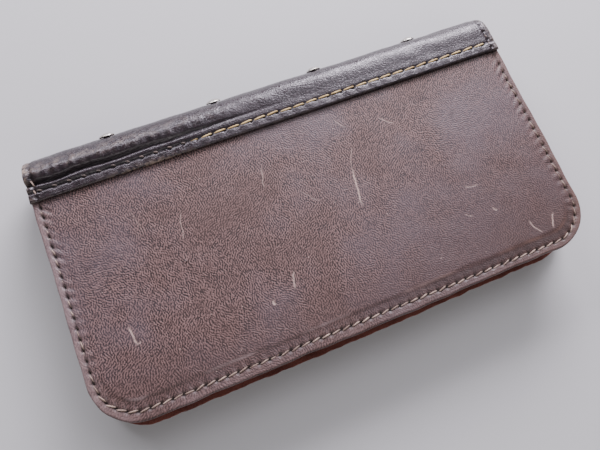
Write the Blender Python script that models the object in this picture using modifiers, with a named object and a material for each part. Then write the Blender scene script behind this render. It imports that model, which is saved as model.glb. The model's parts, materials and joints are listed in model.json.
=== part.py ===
"""Book-style bifold leather case, closed and lying on its back cover.

X runs along the spine, +Y points at the spine and +Z is up. The origin is on the
surface the case lies on, under the middle of the closed case. Lengths are metres.
"""

import math

import bmesh
import bpy

# Overall sizes
CASE_LENGTH = 0.1400
CASE_DEPTH = 0.077857  # back cover's fore edge to the stud heads
COVER_WIDTH = 0.0659  # front cover's fore edge to its crease
BACK_REACH = 0.0016  # the back cover's fore edge stands out this far past the front's
CORNER_RADIUS = 0.0120
GAP = 0.0002  # between layers that touch on the real case

# Sheet thicknesses
COVER_LEATHER = 0.0012
BOARD = 0.0008
LINING = 0.0006
SPINE_LEATHER = 0.0011
SPINE_LINING = 0.0005
STRIP = 0.0008
POCKET_LEATHER = 0.0004

# Rolled spine
SPINE_RADIUS = 0.0080
SPINE_LEAD = 0.0017  # flat leather between a crease and the roll
SPINE_PARTS = 4
HINGE_GAP = 0.0003

# Sewn edges
TURN_IN = 0.0045  # the boards stop this far inside the covers' edges
EDGE_SEAM = 0.0019  # seam to cover edge
SEAM_GROOVE_HALF = 0.0006
SEAM_GROOVE_DEPTH = 0.0008
EDGE_THREAD = 0.00025  # thread radius
STRIP_WIDTH = 0.0048
STRIP_SEAM = 0.0028  # seam to the strip's free edge
STRIP_GROOVE_DEPTH = 0.0005
STRIP_THREAD = 0.00014

# Spine studs
STUD_SPACING = 0.0312
STUD_COUNT = 4
STUD_ANGLE = math.radians(22.5)  # above the middle of the spine
STUD_RADIUS = 0.0021
STUD_RIM = 0.00015
STUD_DOME = 0.00075
POST_RADIUS = 0.0009
POST_LENGTH = 0.0030
POST_HOLE = 0.0012
WASHER_BORE = 0.0011
WASHER_TOP = 0.0024  # below the spine's outer face
WASHER_THICKNESS = 0.0005

# Device holder on the back cover's lining
HOLDER_HALF_LENGTH = 0.0660
HOLDER_FORE = 0.0030  # from the front cover's fore edge
HOLDER_WIDTH = 0.0595
HOLDER_CORNER = 0.0090
HOLDER_WALL = 0.0020
HOLDER_WALL_HEIGHT = 0.0059
HOLDER_FACE = 0.0006
WINDOW_BORDER = 0.0080
WINDOW_CORNER = 0.0050

# Pockets on the front cover's lining: half length, width and thumb notch radius
POCKET_FORE = 0.0030
POCKET_CORNER = 0.0090
SLIP_POCKET = (0.0670, 0.0540, 0.0)
UPPER_CARD_POCKET = (0.0480, 0.0460, 0.0065)
LOWER_CARD_POCKET = (0.0480, 0.0380, 0.0065)

ARC_STEPS = 8

# Places worked out from the sizes above
HALF_LENGTH = CASE_LENGTH / 2
FORE_Y = -CASE_DEPTH / 2 + BACK_REACH
CREASE_Y = FORE_Y + COVER_WIDTH
ROLL_Y = CREASE_Y + SPINE_LEAD
STRIP_Y = CREASE_Y - STRIP_WIDTH
COVER_THICKNESS = COVER_LEATHER + GAP + BOARD
LINING_DEPTH = COVER_THICKNESS + GAP
INNER_DEPTH = LINING_DEPTH + LINING + GAP
CASE_HEIGHT = 2 * SPINE_RADIUS
FRONT_TOP = CASE_HEIGHT - STRIP - GAP

MATERIALS = {
    "brown_leather": ((0.150, 0.088, 0.070), 0.48, 0.0),
    "dark_leather": ((0.022, 0.015, 0.015), 0.32, 0.0),
    "red_suede": ((0.115, 0.040, 0.034), 0.90, 0.0),
    "grey_board": ((0.300, 0.270, 0.230), 0.85, 0.0),
    "brown_thread": ((0.210, 0.130, 0.085), 0.70, 0.0),
    "gold_thread": ((0.480, 0.300, 0.110), 0.60, 0.0),
    "nickel": ((0.620, 0.600, 0.570), 0.25, 1.0),
}


def clear_scene():
    for old in list(bpy.data.objects):
        bpy.data.objects.remove(old, do_unlink=True)


def make_collection(name):
    collection = bpy.data.collections.new(name)
    bpy.context.scene.collection.children.link(collection)
    return collection


def material(name):
    found = bpy.data.materials.get(name)
    if found:
        return found
    colour, roughness, metallic = MATERIALS[name]
    made = bpy.data.materials.new(name)
    made.use_nodes = True
    shader = made.node_tree.nodes["Principled BSDF"]
    shader.inputs["Base Color"].default_value = (*colour, 1.0)
    shader.inputs["Roughness"].default_value = roughness
    shader.inputs["Metallic"].default_value = metallic
    return made


def link(obj, finish, body):
    """Gives an object its material and hangs it on the empty of the body it moves with."""
    if obj.name not in case.objects:
        case.objects.link(obj)
    obj.data.materials.clear()
    obj.data.materials.append(material(finish))
    obj.parent = body
    obj.matrix_parent_inverse = body.matrix_world.inverted()
    return obj


def make_body(name, y, z):
    """An empty on the body's hinge axis, which runs along X."""
    empty = bpy.data.objects.new(name + "_axis", None)
    empty.empty_display_size = 0.01
    empty.location = (0.0, y, z)
    case.objects.link(empty)
    bpy.context.view_layer.update()
    return empty


# Outlines


def u_path(half_length, fore_y, end_y, radius):
    """From the spine side at -X, round both fore corners, to the spine side at +X."""
    points = [(-half_length, end_y)]
    for centre_x, first in ((radius - half_length, 180.0), (half_length - radius, 270.0)):
        for step in range(ARC_STEPS + 1):
            angle = math.radians(first + 90.0 * step / ARC_STEPS)
            x = centre_x + radius * math.cos(angle)
            y = fore_y + radius + radius * math.sin(angle)
            points.append((x, y))
    points.append((half_length, end_y))
    return points


def u_band(half_length, fore_y, end_y, radius, inner, outer=0.0):
    """The band of a U path between two insets, open at the spine side."""
    edges = []
    for inset in (outer, inner):
        edge = u_path(half_length - inset, fore_y + inset, end_y, radius - inset)
        edges.append(edge)
    return edges[0] + edges[1][::-1]


def rounded_rectangle(half_length, low_y, high_y, radius):
    lower = u_path(half_length, low_y, high_y - radius, radius)[1:-1]
    middle = (low_y + high_y) / 2
    upper = [(-x, 2 * middle - y) for x, y in lower]
    return lower + upper


def notched(outline, radius, end_y):
    """Adds a half-round thumb notch to the middle of an outline's spine side."""
    if not radius:
        return outline
    notch = []
    for step in range(ARC_STEPS + 1):
        angle = math.radians(180.0 * step / ARC_STEPS)
        notch.append((radius * math.cos(angle), end_y - radius * math.sin(angle)))
    return outline + notch


def arc(radius, first, last):
    """Points of the rolled spine's section, angles in degrees above +Y."""
    points = []
    for step in range(ARC_STEPS + 1):
        angle = math.radians(first + (last - first) * step / ARC_STEPS)
        y = ROLL_Y + radius * math.cos(angle)
        z = SPINE_RADIUS + radius * math.sin(angle)
        points.append((y, z))
    return points


def spine_section(part, outer, thickness):
    """Closed section of one strip of the roll, with its flat lead at a crease."""
    span = 180.0 / SPINE_PARTS
    trim = math.degrees(HINGE_GAP / 2 / SPINE_RADIUS)
    first = -90.0 + span * part
    last = first + span
    lead_y = CREASE_Y + HINGE_GAP / 2
    inner = outer - thickness
    if part == 0:
        lead = [(lead_y, SPINE_RADIUS - inner), (lead_y, SPINE_RADIUS - outer)]
        return lead + arc(outer, first, last - trim) + arc(inner, last - trim, first)
    if part == SPINE_PARTS - 1:
        lead = [(lead_y, SPINE_RADIUS + outer), (lead_y, SPINE_RADIUS + inner)]
        return arc(outer, first + trim, last) + lead + arc(inner, last, first + trim)
    return arc(outer, first + trim, last - trim) + arc(inner, last - trim, first + trim)


# Solids


def extrude(name, loops, thickness):
    """A flat outline with its holes, extruded evenly about its own plane, as a mesh."""
    curve = bpy.data.curves.new(name, "CURVE")
    curve.dimensions = "2D"
    curve.fill_mode = "BOTH"
    curve.extrude = thickness / 2
    for loop in loops:
        spline = curve.splines.new("POLY")
        spline.points.add(len(loop) - 1)
        for point, (x, y) in zip(spline.points, loop):
            point.co = (x, y, 0.0, 1.0)
        spline.use_cyclic_u = True
    sketch = bpy.data.objects.new(name + "_sketch", curve)
    bpy.context.scene.collection.objects.link(sketch)
    graph = bpy.context.evaluated_depsgraph_get()
    mesh = bpy.data.meshes.new_from_object(sketch.evaluated_get(graph))
    bpy.data.objects.remove(sketch)
    mesh.name = name
    shape = bmesh.new()
    shape.from_mesh(mesh)
    bmesh.ops.remove_doubles(shape, verts=shape.verts, dist=1e-6)
    bmesh.ops.recalc_face_normals(shape, faces=shape.faces)
    shape.to_mesh(mesh)
    shape.free()
    return bpy.data.objects.new(name, mesh)


def plate(name, loops, low, high):
    """A flat sheet between two heights."""
    obj = extrude(name, loops, high - low)
    obj.location.z = (low + high) / 2
    return obj


def rolled(name, section):
    """A section in the YZ plane, run along the whole case."""
    obj = extrude(name, [section], CASE_LENGTH)
    obj.rotation_euler = (math.radians(90.0), 0.0, math.radians(90.0))
    obj.data.shade_smooth()
    obj.data.set_sharp_from_angle(angle=math.radians(30.0))
    return obj


def thread(name, points, height, radius):
    """A sewing thread lying along a path at one height."""
    curve = bpy.data.curves.new(name, "CURVE")
    curve.dimensions = "3D"
    curve.bevel_depth = radius
    curve.bevel_resolution = 2
    curve.use_fill_caps = True
    spline = curve.splines.new("POLY")
    spline.points.add(len(points) - 1)
    for point, (x, y) in zip(spline.points, points):
        point.co = (x, y, height, 1.0)
    return bpy.data.objects.new(name, curve)


def turned(name, profile, closed=False, steps=20):
    """A profile of (radius, height) points, turned about Z."""
    mesh = bpy.data.meshes.new(name)
    count = len(profile)
    edges = [(i, i + 1) for i in range(count - 1)]
    if closed:
        edges.append((count - 1, 0))
    mesh.from_pydata([(radius, 0.0, height) for radius, height in profile], edges, [])
    obj = bpy.data.objects.new(name, mesh)
    screw = obj.modifiers.new("Turn", "SCREW")
    screw.steps = steps
    screw.render_steps = steps
    screw.use_merge_vertices = True
    screw.merge_threshold = 0.00001
    screw.use_smooth_shade = True
    return obj


def cut(obj, cutter):
    cutter.hide_render = True
    cutter.display_type = "WIRE"
    if cutter.name not in cutters.objects:
        cutters.objects.link(cutter)
    boolean = obj.modifiers.new("Cut " + cutter.name, "BOOLEAN")
    boolean.operation = "DIFFERENCE"
    boolean.solver = "EXACT"
    boolean.object = cutter
    return obj


# Covers


class Side:
    """One cover: turns a depth below its outer face into a height."""

    def __init__(self, name, body, outer_z, inward, fore_y):
        self.name = name
        self.body = body
        self.outer_z = outer_z
        self.inward = inward
        self.fore_y = fore_y

    def span(self, near, far):
        heights = (self.outer_z + self.inward * near, self.outer_z + self.inward * far)
        return min(heights), max(heights)

    def sheet(self, name, loops, near, far):
        return plate(self.name + "_" + name, loops, *self.span(near, far))


def make_cover(side):
    """Outer leather with its turned-in rim, board, lining and the edge seam."""
    spine_edge = CREASE_Y - HINGE_GAP
    outline = u_path(HALF_LENGTH, side.fore_y, spine_edge, CORNER_RADIUS)
    board_end = spine_edge - TURN_IN - GAP

    leather = side.sheet("outer_leather", [outline], 0.0, COVER_THICKNESS)
    recess_path = u_path(
        HALF_LENGTH - TURN_IN + GAP,
        side.fore_y + TURN_IN - GAP,
        board_end + GAP,
        CORNER_RADIUS - TURN_IN + GAP,
    )
    recess = side.sheet("board_recess", [recess_path], COVER_LEATHER, 2 * COVER_THICKNESS)
    cut(leather, recess)
    groove_path = u_band(
        HALF_LENGTH,
        side.fore_y,
        STRIP_Y - GAP,
        CORNER_RADIUS,
        EDGE_SEAM + SEAM_GROOVE_HALF,
        EDGE_SEAM - SEAM_GROOVE_HALF,
    )
    groove = side.sheet("seam_groove", [groove_path], -COVER_LEATHER, SEAM_GROOVE_DEPTH)
    cut(leather, groove)
    link(leather, "brown_leather", side.body)

    board_path = u_path(
        HALF_LENGTH - TURN_IN, side.fore_y + TURN_IN, board_end, CORNER_RADIUS - TURN_IN
    )
    board = side.sheet("board", [board_path], COVER_LEATHER + GAP, COVER_THICKNESS)
    link(board, "grey_board", side.body)

    lining = side.sheet("suede_lining", [outline], LINING_DEPTH, LINING_DEPTH + LINING)
    link(lining, "red_suede", side.body)

    seam = u_path(
        HALF_LENGTH - EDGE_SEAM,
        side.fore_y + EDGE_SEAM,
        STRIP_Y - 2 * GAP,
        CORNER_RADIUS - EDGE_SEAM,
    )
    seam_depth = SEAM_GROOVE_DEPTH - GAP - EDGE_THREAD
    seam_z = side.span(seam_depth, seam_depth)[0]
    edge_thread = thread(side.name + "_edge_thread", seam, seam_z, EDGE_THREAD)
    link(edge_thread, "brown_thread", side.body)
    return leather


def make_strip(side, near):
    """The flat edge of the spine leather, sewn down on the cover with a gold seam."""
    low_y, high_y = STRIP_Y, CREASE_Y - HINGE_GAP / 2
    outline = [
        (-HALF_LENGTH, low_y),
        (HALF_LENGTH, low_y),
        (HALF_LENGTH, high_y),
        (-HALF_LENGTH, high_y),
    ]
    strip = side.sheet("spine_strip", [outline], near, near + STRIP)

    seam_y = STRIP_Y + STRIP_SEAM
    seam_low, seam_high = seam_y - SEAM_GROOVE_HALF, seam_y + SEAM_GROOVE_HALF
    end_x = HALF_LENGTH - EDGE_SEAM
    groove_outline = [
        (-end_x, seam_low),
        (end_x, seam_low),
        (end_x, seam_high),
        (-end_x, seam_high),
    ]
    groove_far = near + STRIP_GROOVE_DEPTH
    cut(strip, side.sheet("strip_groove", [groove_outline], near - STRIP, groove_far))
    link(strip, "dark_leather", side.body)

    thread_depth = groove_far - GAP - STRIP_THREAD
    thread_z = side.span(thread_depth, thread_depth)[0]
    seam = [(-end_x + GAP, seam_y), (end_x - GAP, seam_y)]
    gold = thread(side.name + "_strip_thread", seam, thread_z, STRIP_THREAD)
    link(gold, "gold_thread", side.body)


def rebate_back_leather(side, leather):
    """Thins the back leather under the strip, so that the strip lies flush."""
    outline = [
        (-2 * HALF_LENGTH, STRIP_Y - GAP),
        (2 * HALF_LENGTH, STRIP_Y - GAP),
        (2 * HALF_LENGTH, CREASE_Y + GAP),
        (-2 * HALF_LENGTH, CREASE_Y + GAP),
    ]
    cut(leather, side.sheet("strip_rebate", [outline], -STRIP, STRIP + GAP))


def make_holder(side):
    """Moulded wall on three sides of the device and the face frame sewn on it."""
    fore_y = FORE_Y + HOLDER_FORE
    end_y = fore_y + HOLDER_WIDTH
    wall_loop = u_band(HOLDER_HALF_LENGTH, fore_y, end_y, HOLDER_CORNER, HOLDER_WALL)
    wall_near = INNER_DEPTH
    wall_far = wall_near + HOLDER_WALL_HEIGHT
    wall = plate("holder_wall", [wall_loop], *side.span(wall_near, wall_far))
    link(wall, "brown_leather", side.body)

    outline = u_path(HOLDER_HALF_LENGTH, fore_y, end_y, HOLDER_CORNER)
    window = rounded_rectangle(
        HOLDER_HALF_LENGTH - WINDOW_BORDER,
        fore_y + WINDOW_BORDER,
        end_y - WINDOW_BORDER,
        WINDOW_CORNER,
    )
    face_near = wall_far + GAP
    face = plate("holder_face", [outline, window], *side.span(face_near, face_near + HOLDER_FACE))
    link(face, "brown_leather", side.body)


def make_pockets(side):
    """Slip pocket and two card pockets, stepped towards the spine."""
    near = INNER_DEPTH
    pockets = (
        ("slip_pocket", SLIP_POCKET),
        ("card_pocket_upper", UPPER_CARD_POCKET),
        ("card_pocket_lower", LOWER_CARD_POCKET),
    )
    for name, (half_length, width, notch) in pockets:
        fore_y = FORE_Y + POCKET_FORE
        end_y = fore_y + width
        outline = notched(u_path(half_length, fore_y, end_y, POCKET_CORNER), notch, end_y)
        pocket = plate(name, [outline], *side.span(near, near + POCKET_LEATHER))
        link(pocket, "brown_leather", side.body)
        near += POCKET_LEATHER + GAP


# Spine


def stud_cutter(name, x):
    bpy.ops.mesh.primitive_cylinder_add(vertices=16, radius=POST_HOLE, depth=4 * POST_LENGTH)
    cutter = bpy.context.object
    cutter.name = name
    for home in list(cutter.users_collection):
        home.objects.unlink(cutter)
    place_on_roll(cutter, x)
    return cutter


def place_on_roll(obj, x):
    """Stands an object's Z axis out of the roll at the studs' height."""
    y = ROLL_Y + SPINE_RADIUS * math.cos(STUD_ANGLE)
    z = SPINE_RADIUS + SPINE_RADIUS * math.sin(STUD_ANGLE)
    obj.location = (x, y, z)
    obj.rotation_euler = (STUD_ANGLE - math.radians(90.0), 0.0, 0.0)


def stud_profile():
    """Domed head, flat underside and post, from the top down."""
    under = GAP
    rim = under + STUD_RIM
    curve_radius = (STUD_RADIUS**2 + STUD_DOME**2) / (2 * STUD_DOME)
    half_angle = math.asin(STUD_RADIUS / curve_radius)
    points = []
    for step in range(ARC_STEPS + 1):
        angle = half_angle * step / ARC_STEPS
        height = rim + STUD_DOME - curve_radius * (1 - math.cos(angle))
        points.append((curve_radius * math.sin(angle), height))
    points += [
        (STUD_RADIUS, under),
        (POST_RADIUS, under),
        (POST_RADIUS, -POST_LENGTH),
        (0.0, -POST_LENGTH),
    ]
    return points


def washer_profile():
    top, bottom = -WASHER_TOP, -WASHER_TOP - WASHER_THICKNESS
    return [(STUD_RADIUS, top), (STUD_RADIUS, bottom), (WASHER_BORE, bottom), (WASHER_BORE, top)]


def make_spine(bodies):
    """Four strips of rolled leather with their lining, and the studs on the third."""
    lining_outer = SPINE_RADIUS - SPINE_LEATHER - GAP
    for part, body in enumerate(bodies):
        number = str(part + 1)
        section = spine_section(part, SPINE_RADIUS, SPINE_LEATHER)
        leather = link(rolled("spine_leather_" + number, section), "dark_leather", body)
        section = spine_section(part, lining_outer, SPINE_LINING)
        lining = link(rolled("spine_lining_" + number, section), "red_suede", body)
        if part == 2:
            make_studs(leather, lining, body)


def make_studs(leather, lining, body):
    for index in range(STUD_COUNT):
        number = str(index + 1)
        x = STUD_SPACING * (index - (STUD_COUNT - 1) / 2)
        cutter = stud_cutter("stud_hole_" + number, x)
        cut(leather, cutter)
        cut(lining, cutter)
        stud = turned("spine_stud_" + number, stud_profile())
        washer = turned("stud_washer_" + number, washer_profile(), closed=True)
        for piece in (stud, washer):
            place_on_roll(piece, x)
            link(piece, "nickel", body)


def make_case():
    back_body = make_body("back_cover", CREASE_Y, 0.0)
    spine_bodies = []
    for part in range(SPINE_PARTS):
        if part == 0:
            y, z = CREASE_Y, 0.0
        else:
            angle = math.radians(-90.0 + 180.0 * part / SPINE_PARTS)
            y = ROLL_Y + SPINE_RADIUS * math.cos(angle)
            z = SPINE_RADIUS + SPINE_RADIUS * math.sin(angle)
        spine_bodies.append(make_body("spine_" + str(part + 1), y, z))
    front_body = make_body("front_cover", CREASE_Y, CASE_HEIGHT)

    back = Side("back", back_body, 0.0, 1.0, FORE_Y - BACK_REACH)
    front = Side("front", front_body, FRONT_TOP, -1.0, FORE_Y)

    back_leather = make_cover(back)
    rebate_back_leather(back, back_leather)
    make_strip(back, 0.0)
    make_holder(back)

    make_cover(front)
    make_strip(front, -STRIP - GAP)
    make_pockets(front)

    make_spine(spine_bodies)


clear_scene()
case = make_collection("bifold_leather_case")
cutters = make_collection("cutters")
make_case()
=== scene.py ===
import json
import math

import bmesh
import bpy
import numpy as np
from mathutils import Matrix, Vector


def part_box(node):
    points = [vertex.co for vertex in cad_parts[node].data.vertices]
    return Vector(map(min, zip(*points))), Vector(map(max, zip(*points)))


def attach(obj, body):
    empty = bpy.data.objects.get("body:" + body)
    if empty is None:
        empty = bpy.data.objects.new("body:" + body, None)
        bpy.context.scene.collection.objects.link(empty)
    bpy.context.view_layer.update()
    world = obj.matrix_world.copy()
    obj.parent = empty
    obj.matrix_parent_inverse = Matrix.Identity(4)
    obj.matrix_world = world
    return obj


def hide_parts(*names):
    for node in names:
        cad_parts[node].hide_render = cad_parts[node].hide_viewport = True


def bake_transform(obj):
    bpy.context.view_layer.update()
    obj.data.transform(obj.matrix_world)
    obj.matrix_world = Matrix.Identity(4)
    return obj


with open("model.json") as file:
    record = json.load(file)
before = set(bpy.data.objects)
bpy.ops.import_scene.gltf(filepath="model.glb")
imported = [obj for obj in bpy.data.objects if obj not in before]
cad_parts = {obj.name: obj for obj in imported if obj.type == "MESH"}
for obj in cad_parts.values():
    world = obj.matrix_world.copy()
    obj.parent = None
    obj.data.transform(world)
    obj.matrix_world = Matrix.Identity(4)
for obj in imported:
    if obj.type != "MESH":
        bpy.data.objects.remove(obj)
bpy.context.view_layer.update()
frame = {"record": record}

mm = 0.001


# places taken from the frame

joints = {joint["name"]: Vector(joint["pos_m"]) for joint in frame["record"]["behaviour"]["joints"]}
creaseY = joints["front_crease"].y
caseTop = joints["front_crease"].z
rollRadius = caseTop / 2
rollY = joints["spine_middle_fold"].y - rollRadius
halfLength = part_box("spine_leather_1")[1].x
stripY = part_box("front_spine_strip")[0].y


def boxRect(node):
    low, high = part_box(node)
    return low.x, low.y, high.x, high.y


def boxFaces(node):
    low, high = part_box(node)
    return low.z, high.z


# camera, floor and light

cameraLook = {
    "place": (-0.0321, -0.0396, 0.1581),
    "turn": (15.83, -4.40, -22.01),  # degrees
    "lens": 33.6,
}
floorLook = {"size": 8.0, "drop": 0.05 * mm, "colour": (0.60, 0.60, 0.61), "roughness": 0.75}
lampLooks = {
    "window": {
        "place": (0.32, 0.54, 0.29), "size": (0.40, 0.26), "power": 9.5, "colour": (0.95, 0.90, 1.0),
    },
    "sky": {
        "place": (0.30, 0.26, 0.54), "size": (0.40, 0.40), "power": 2.0, "colour": (0.955, 0.925, 1.0),
    },
    "back": {
        "place": (-0.16, 0.60, 0.34), "size": (0.40, 0.24), "power": 3.4, "colour": (0.95, 0.92, 1.0),
    },
    "fill": {
        "place": (-0.10, -0.60, 0.50), "size": (0.60, 0.40), "power": 1.6, "colour": (1.0, 0.96, 0.93),
    },
}
worldLook = {"colour": (0.88, 0.86, 0.93), "strength": 0.17}


def makeCamera(look):
    data = bpy.data.cameras.new("caseCamera")
    data.lens = look["lens"]
    data.clip_start = 0.005
    data.clip_end = 20.0
    camera = bpy.data.objects.new("caseCamera", data)
    camera.location = look["place"]
    camera.rotation_euler = [math.radians(angle) for angle in look["turn"]]
    bpy.context.collection.objects.link(camera)
    bpy.context.scene.camera = camera


def makeLight(name, look):
    data = bpy.data.lights.new(name, "AREA")
    data.shape = "RECTANGLE"
    data.size, data.size_y = look["size"]
    data.energy = look["power"]
    data.color = look["colour"]
    lamp = bpy.data.objects.new(name, data)
    lamp.location = look["place"]
    lamp.rotation_euler = (-Vector(look["place"])).to_track_quat("-Z", "Y").to_euler()
    bpy.context.collection.objects.link(lamp)


def makeWorld(look):
    world = bpy.data.worlds.new("softWorld")
    world.use_nodes = True
    background = world.node_tree.nodes["Background"]
    background.inputs["Color"].default_value = (*look["colour"], 1.0)
    background.inputs["Strength"].default_value = look["strength"]
    bpy.context.scene.world = world


def makeFloor(look):
    half = look["size"] / 2
    mesh = bpy.data.meshes.new("floor")
    corners = [(-half, -half, 0), (half, -half, 0), (half, half, 0), (-half, half, 0)]
    mesh.from_pydata(corners, [], [(0, 1, 2, 3)])
    floor = bpy.data.objects.new("floor", mesh)
    floor.location.z = -look["drop"]
    bpy.context.collection.objects.link(floor)
    finish = bpy.data.materials.new("palePaper")
    finish.use_nodes = True
    shader = finish.node_tree.nodes["Principled BSDF"]
    shader.inputs["Base Color"].default_value = (*look["colour"], 1.0)
    shader.inputs["Roughness"].default_value = look["roughness"]
    mesh.materials.append(finish)


makeCamera(cameraLook)
makeFloor(floorLook)
makeWorld(worldLook)
for lampName, lampLook in lampLooks.items():
    makeLight(lampName + "Light", lampLook)
print("camera, floor and lights are in")


# shader helpers


def startFinish(name):
    finish = bpy.data.materials.new(name)
    finish.use_nodes = True
    tree = finish.node_tree
    return finish, tree, tree.nodes["Principled BSDF"]


def addNode(tree, kind, settings=None, inputs=None):
    made = tree.nodes.new(kind)
    for key, value in (settings or {}).items():
        setattr(made, key, value)
    for key, value in (inputs or {}).items():
        plug(tree, made.inputs[key], value)
    return made


def plug(tree, socket, value):
    if isinstance(value, bpy.types.NodeSocket):
        tree.links.new(value, socket)
    elif socket.type == "RGBA" and len(value) == 3:
        socket.default_value = (*value, 1.0)
    else:
        socket.default_value = value


def sums(tree, operation, *values):
    made = addNode(tree, "ShaderNodeMath", {"operation": operation})
    for socket, value in zip(made.inputs, values):
        plug(tree, socket, value)
    return made.outputs[0]


def vectors(tree, operation, first, second, out="Vector"):
    made = addNode(tree, "ShaderNodeVectorMath", {"operation": operation})
    plug(tree, made.inputs[0], first)
    plug(tree, made.inputs[1], second)
    return made.outputs[out]


def remap(tree, value, low, high, toLow=0.0, toHigh=1.0):
    inputs = {"Value": value, "From Min": low, "From Max": high, "To Min": toLow, "To Max": toHigh}
    made = addNode(tree, "ShaderNodeMapRange", {"interpolation_type": "SMOOTHSTEP"}, inputs)
    return made.outputs[0]


def blendColour(tree, factor, first, second):
    made = addNode(tree, "ShaderNodeMix", {"data_type": "RGBA", "blend_type": "MIX"})
    plug(tree, made.inputs[0], factor)
    plug(tree, made.inputs[6], first)
    plug(tree, made.inputs[7], second)
    return made.outputs[2]


def objectPlace(tree):
    return addNode(tree, "ShaderNodeTexCoord").outputs["Object"]


def noise(tree, place, scale, detail=2.0, roughness=0.5, distortion=0.0):
    inputs = {
        "Vector": place, "Scale": scale, "Detail": detail, "Roughness": roughness, "Distortion": distortion,
    }
    return addNode(tree, "ShaderNodeTexNoise", None, inputs).outputs["Fac"]


def painted(tree, name):
    return addNode(tree, "ShaderNodeAttribute", {"attribute_name": name}).outputs["Fac"]


def bumps(tree, height, strength, distance):
    inputs = {"Height": height, "Strength": strength, "Distance": distance}
    return addNode(tree, "ShaderNodeBump", None, inputs).outputs["Normal"]


def wormGrain(tree, place, width, lean, kind):
    # winding ridges about width apart, mostly from spine to fore edge, drifting over the hide
    turn = sums(tree, "MULTIPLY", sums(tree, "SUBTRACT", noise(tree, place, 45.0, 1.0), 0.5), 4.0)
    bent = noise(tree, place, 0.35 / width, 1.0)
    sway = addNode(tree, "ShaderNodeCombineXYZ", None, {"X": bent, "Y": bent}).outputs[0]
    shift = vectors(tree, "MULTIPLY", sway, (width * 0.9, width * 0.9, 0.0))
    inputs = {
        "Vector": vectors(tree, "ADD", place, shift),
        "Scale": 0.42 / width, "Frequency": 2.4, "Anisotropy": lean,
    }
    ridges = addNode(tree, "ShaderNodeTexGabor", {"gabor_type": kind}, inputs)
    if kind == "2D":
        plug(tree, ridges.inputs["Orientation"], turn)
    return ridges.outputs["Value"]


def scratchMark(tree, place, start, end, width, wobble):
    # 1 on the line from start to end, fading to 0 at its width and its ends
    run = Vector(end) - Vector(start)
    away = vectors(tree, "SUBTRACT", place, (*start, 0.0))
    flat = vectors(tree, "MULTIPLY", away, (1.0, 1.0, 0.0))
    along = vectors(tree, "DOT_PRODUCT", flat, (run.x / run.length, run.y / run.length, 0.0), "Value")
    across = vectors(tree, "DOT_PRODUCT", flat, (-run.y / run.length, run.x / run.length, 0.0), "Value")
    share = sums(tree, "DIVIDE", along, run.length)
    bend = sums(tree, "MULTIPLY", sums(tree, "SUBTRACT", wobble, 0.5), 1.6 * mm)
    arch = sums(tree, "MULTIPLY", share, sums(tree, "SUBTRACT", 1.0, share))
    bow = sums(tree, "MULTIPLY", arch, 2.0 * width)
    offset = sums(tree, "ABSOLUTE", sums(tree, "ADD", sums(tree, "ADD", across, bend), bow))
    thin = remap(tree, offset, width * 0.72, width * 0.12)
    inside = sums(tree, "MULTIPLY", remap(tree, share, -0.05, 0.25), remap(tree, share, 1.05, 0.75))
    return sums(tree, "MULTIPLY", thin, inside)


# finishes

brownLook = {
    "ridge": (0.238, 0.138, 0.128),
    "furrow": (0.020, 0.010, 0.010),
    # waxy haze tone, also a painted grey-blue sheen from the sky
    "waxHazeAndSheen": (0.128, 0.098, 0.118),  # waxy haze
    "warm": (0.085, 0.044, 0.036),
    # painted shade colour for the fore edge and the lower right corner
    "foreShadeTone": (0.062, 0.032, 0.028),
    "wornEdge": (0.290, 0.205, 0.205),
    "wornEdgeRight": (0.185, 0.105, 0.085),
    # painted shade and shadow colour for holes, channels and under the spine strip
    "seam": (0.020, 0.012, 0.011),
    "scratch": (0.560, 0.400, 0.350),
    "grainWidth": 0.62 * mm,
    "grainLean": 0.48,  # 0 winds every way, 1 runs straight
    "grainKind": "2D",
    "roughness": (0.45, 0.64),
    "bump": 0.15 * mm,
}
# start, end, width, strength: x and y from the middle of the case
coverMarks = (
    ((0.0134, 0.0046), (0.0115, -0.0072), 0.00062, 1.00),
    ((0.0156, 0.0102), (0.0132, 0.0040), 0.00034, 0.45),
    ((-0.0563, -0.0150), (-0.0556, -0.0204), 0.00055, 0.95),
    ((-0.0557, -0.0200), (-0.0545, -0.0196), 0.00050, 0.70),
    ((-0.0127, -0.0168), (-0.0143, -0.0215), 0.00062, 0.75),
    ((-0.0206, -0.0219), (-0.0201, -0.0234), 0.00075, 0.90),
    ((-0.0103, 0.0132), (-0.0118, 0.0069), 0.00034, 0.60),
    ((-0.0346, 0.0089), (-0.0365, 0.0010), 0.00034, 0.50),
    ((0.0262, 0.0159), (0.0298, 0.0123), 0.00036, 0.55),
    ((0.0139, 0.0196), (0.0164, 0.0160), 0.00036, 0.50),
    ((0.0531, -0.0270), (0.0552, -0.0317), 0.00050, 0.70),
    ((0.0608, -0.0276), (0.0590, -0.0317), 0.00055, 0.80),
    ((0.0451, -0.0202), (0.0463, -0.0214), 0.00060, 0.60),
    ((0.0405, -0.0118), (0.0445, -0.0127), 0.00060, 0.45),
    ((0.0368, -0.0190), (0.0392, -0.0204), 0.00045, 0.35),
    ((-0.0035, 0.0035), (0.0012, -0.0018), 0.00030, 0.35),
    ((-0.0468, 0.0140), (-0.0455, 0.0060), 0.00028, 0.25),
)


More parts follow.
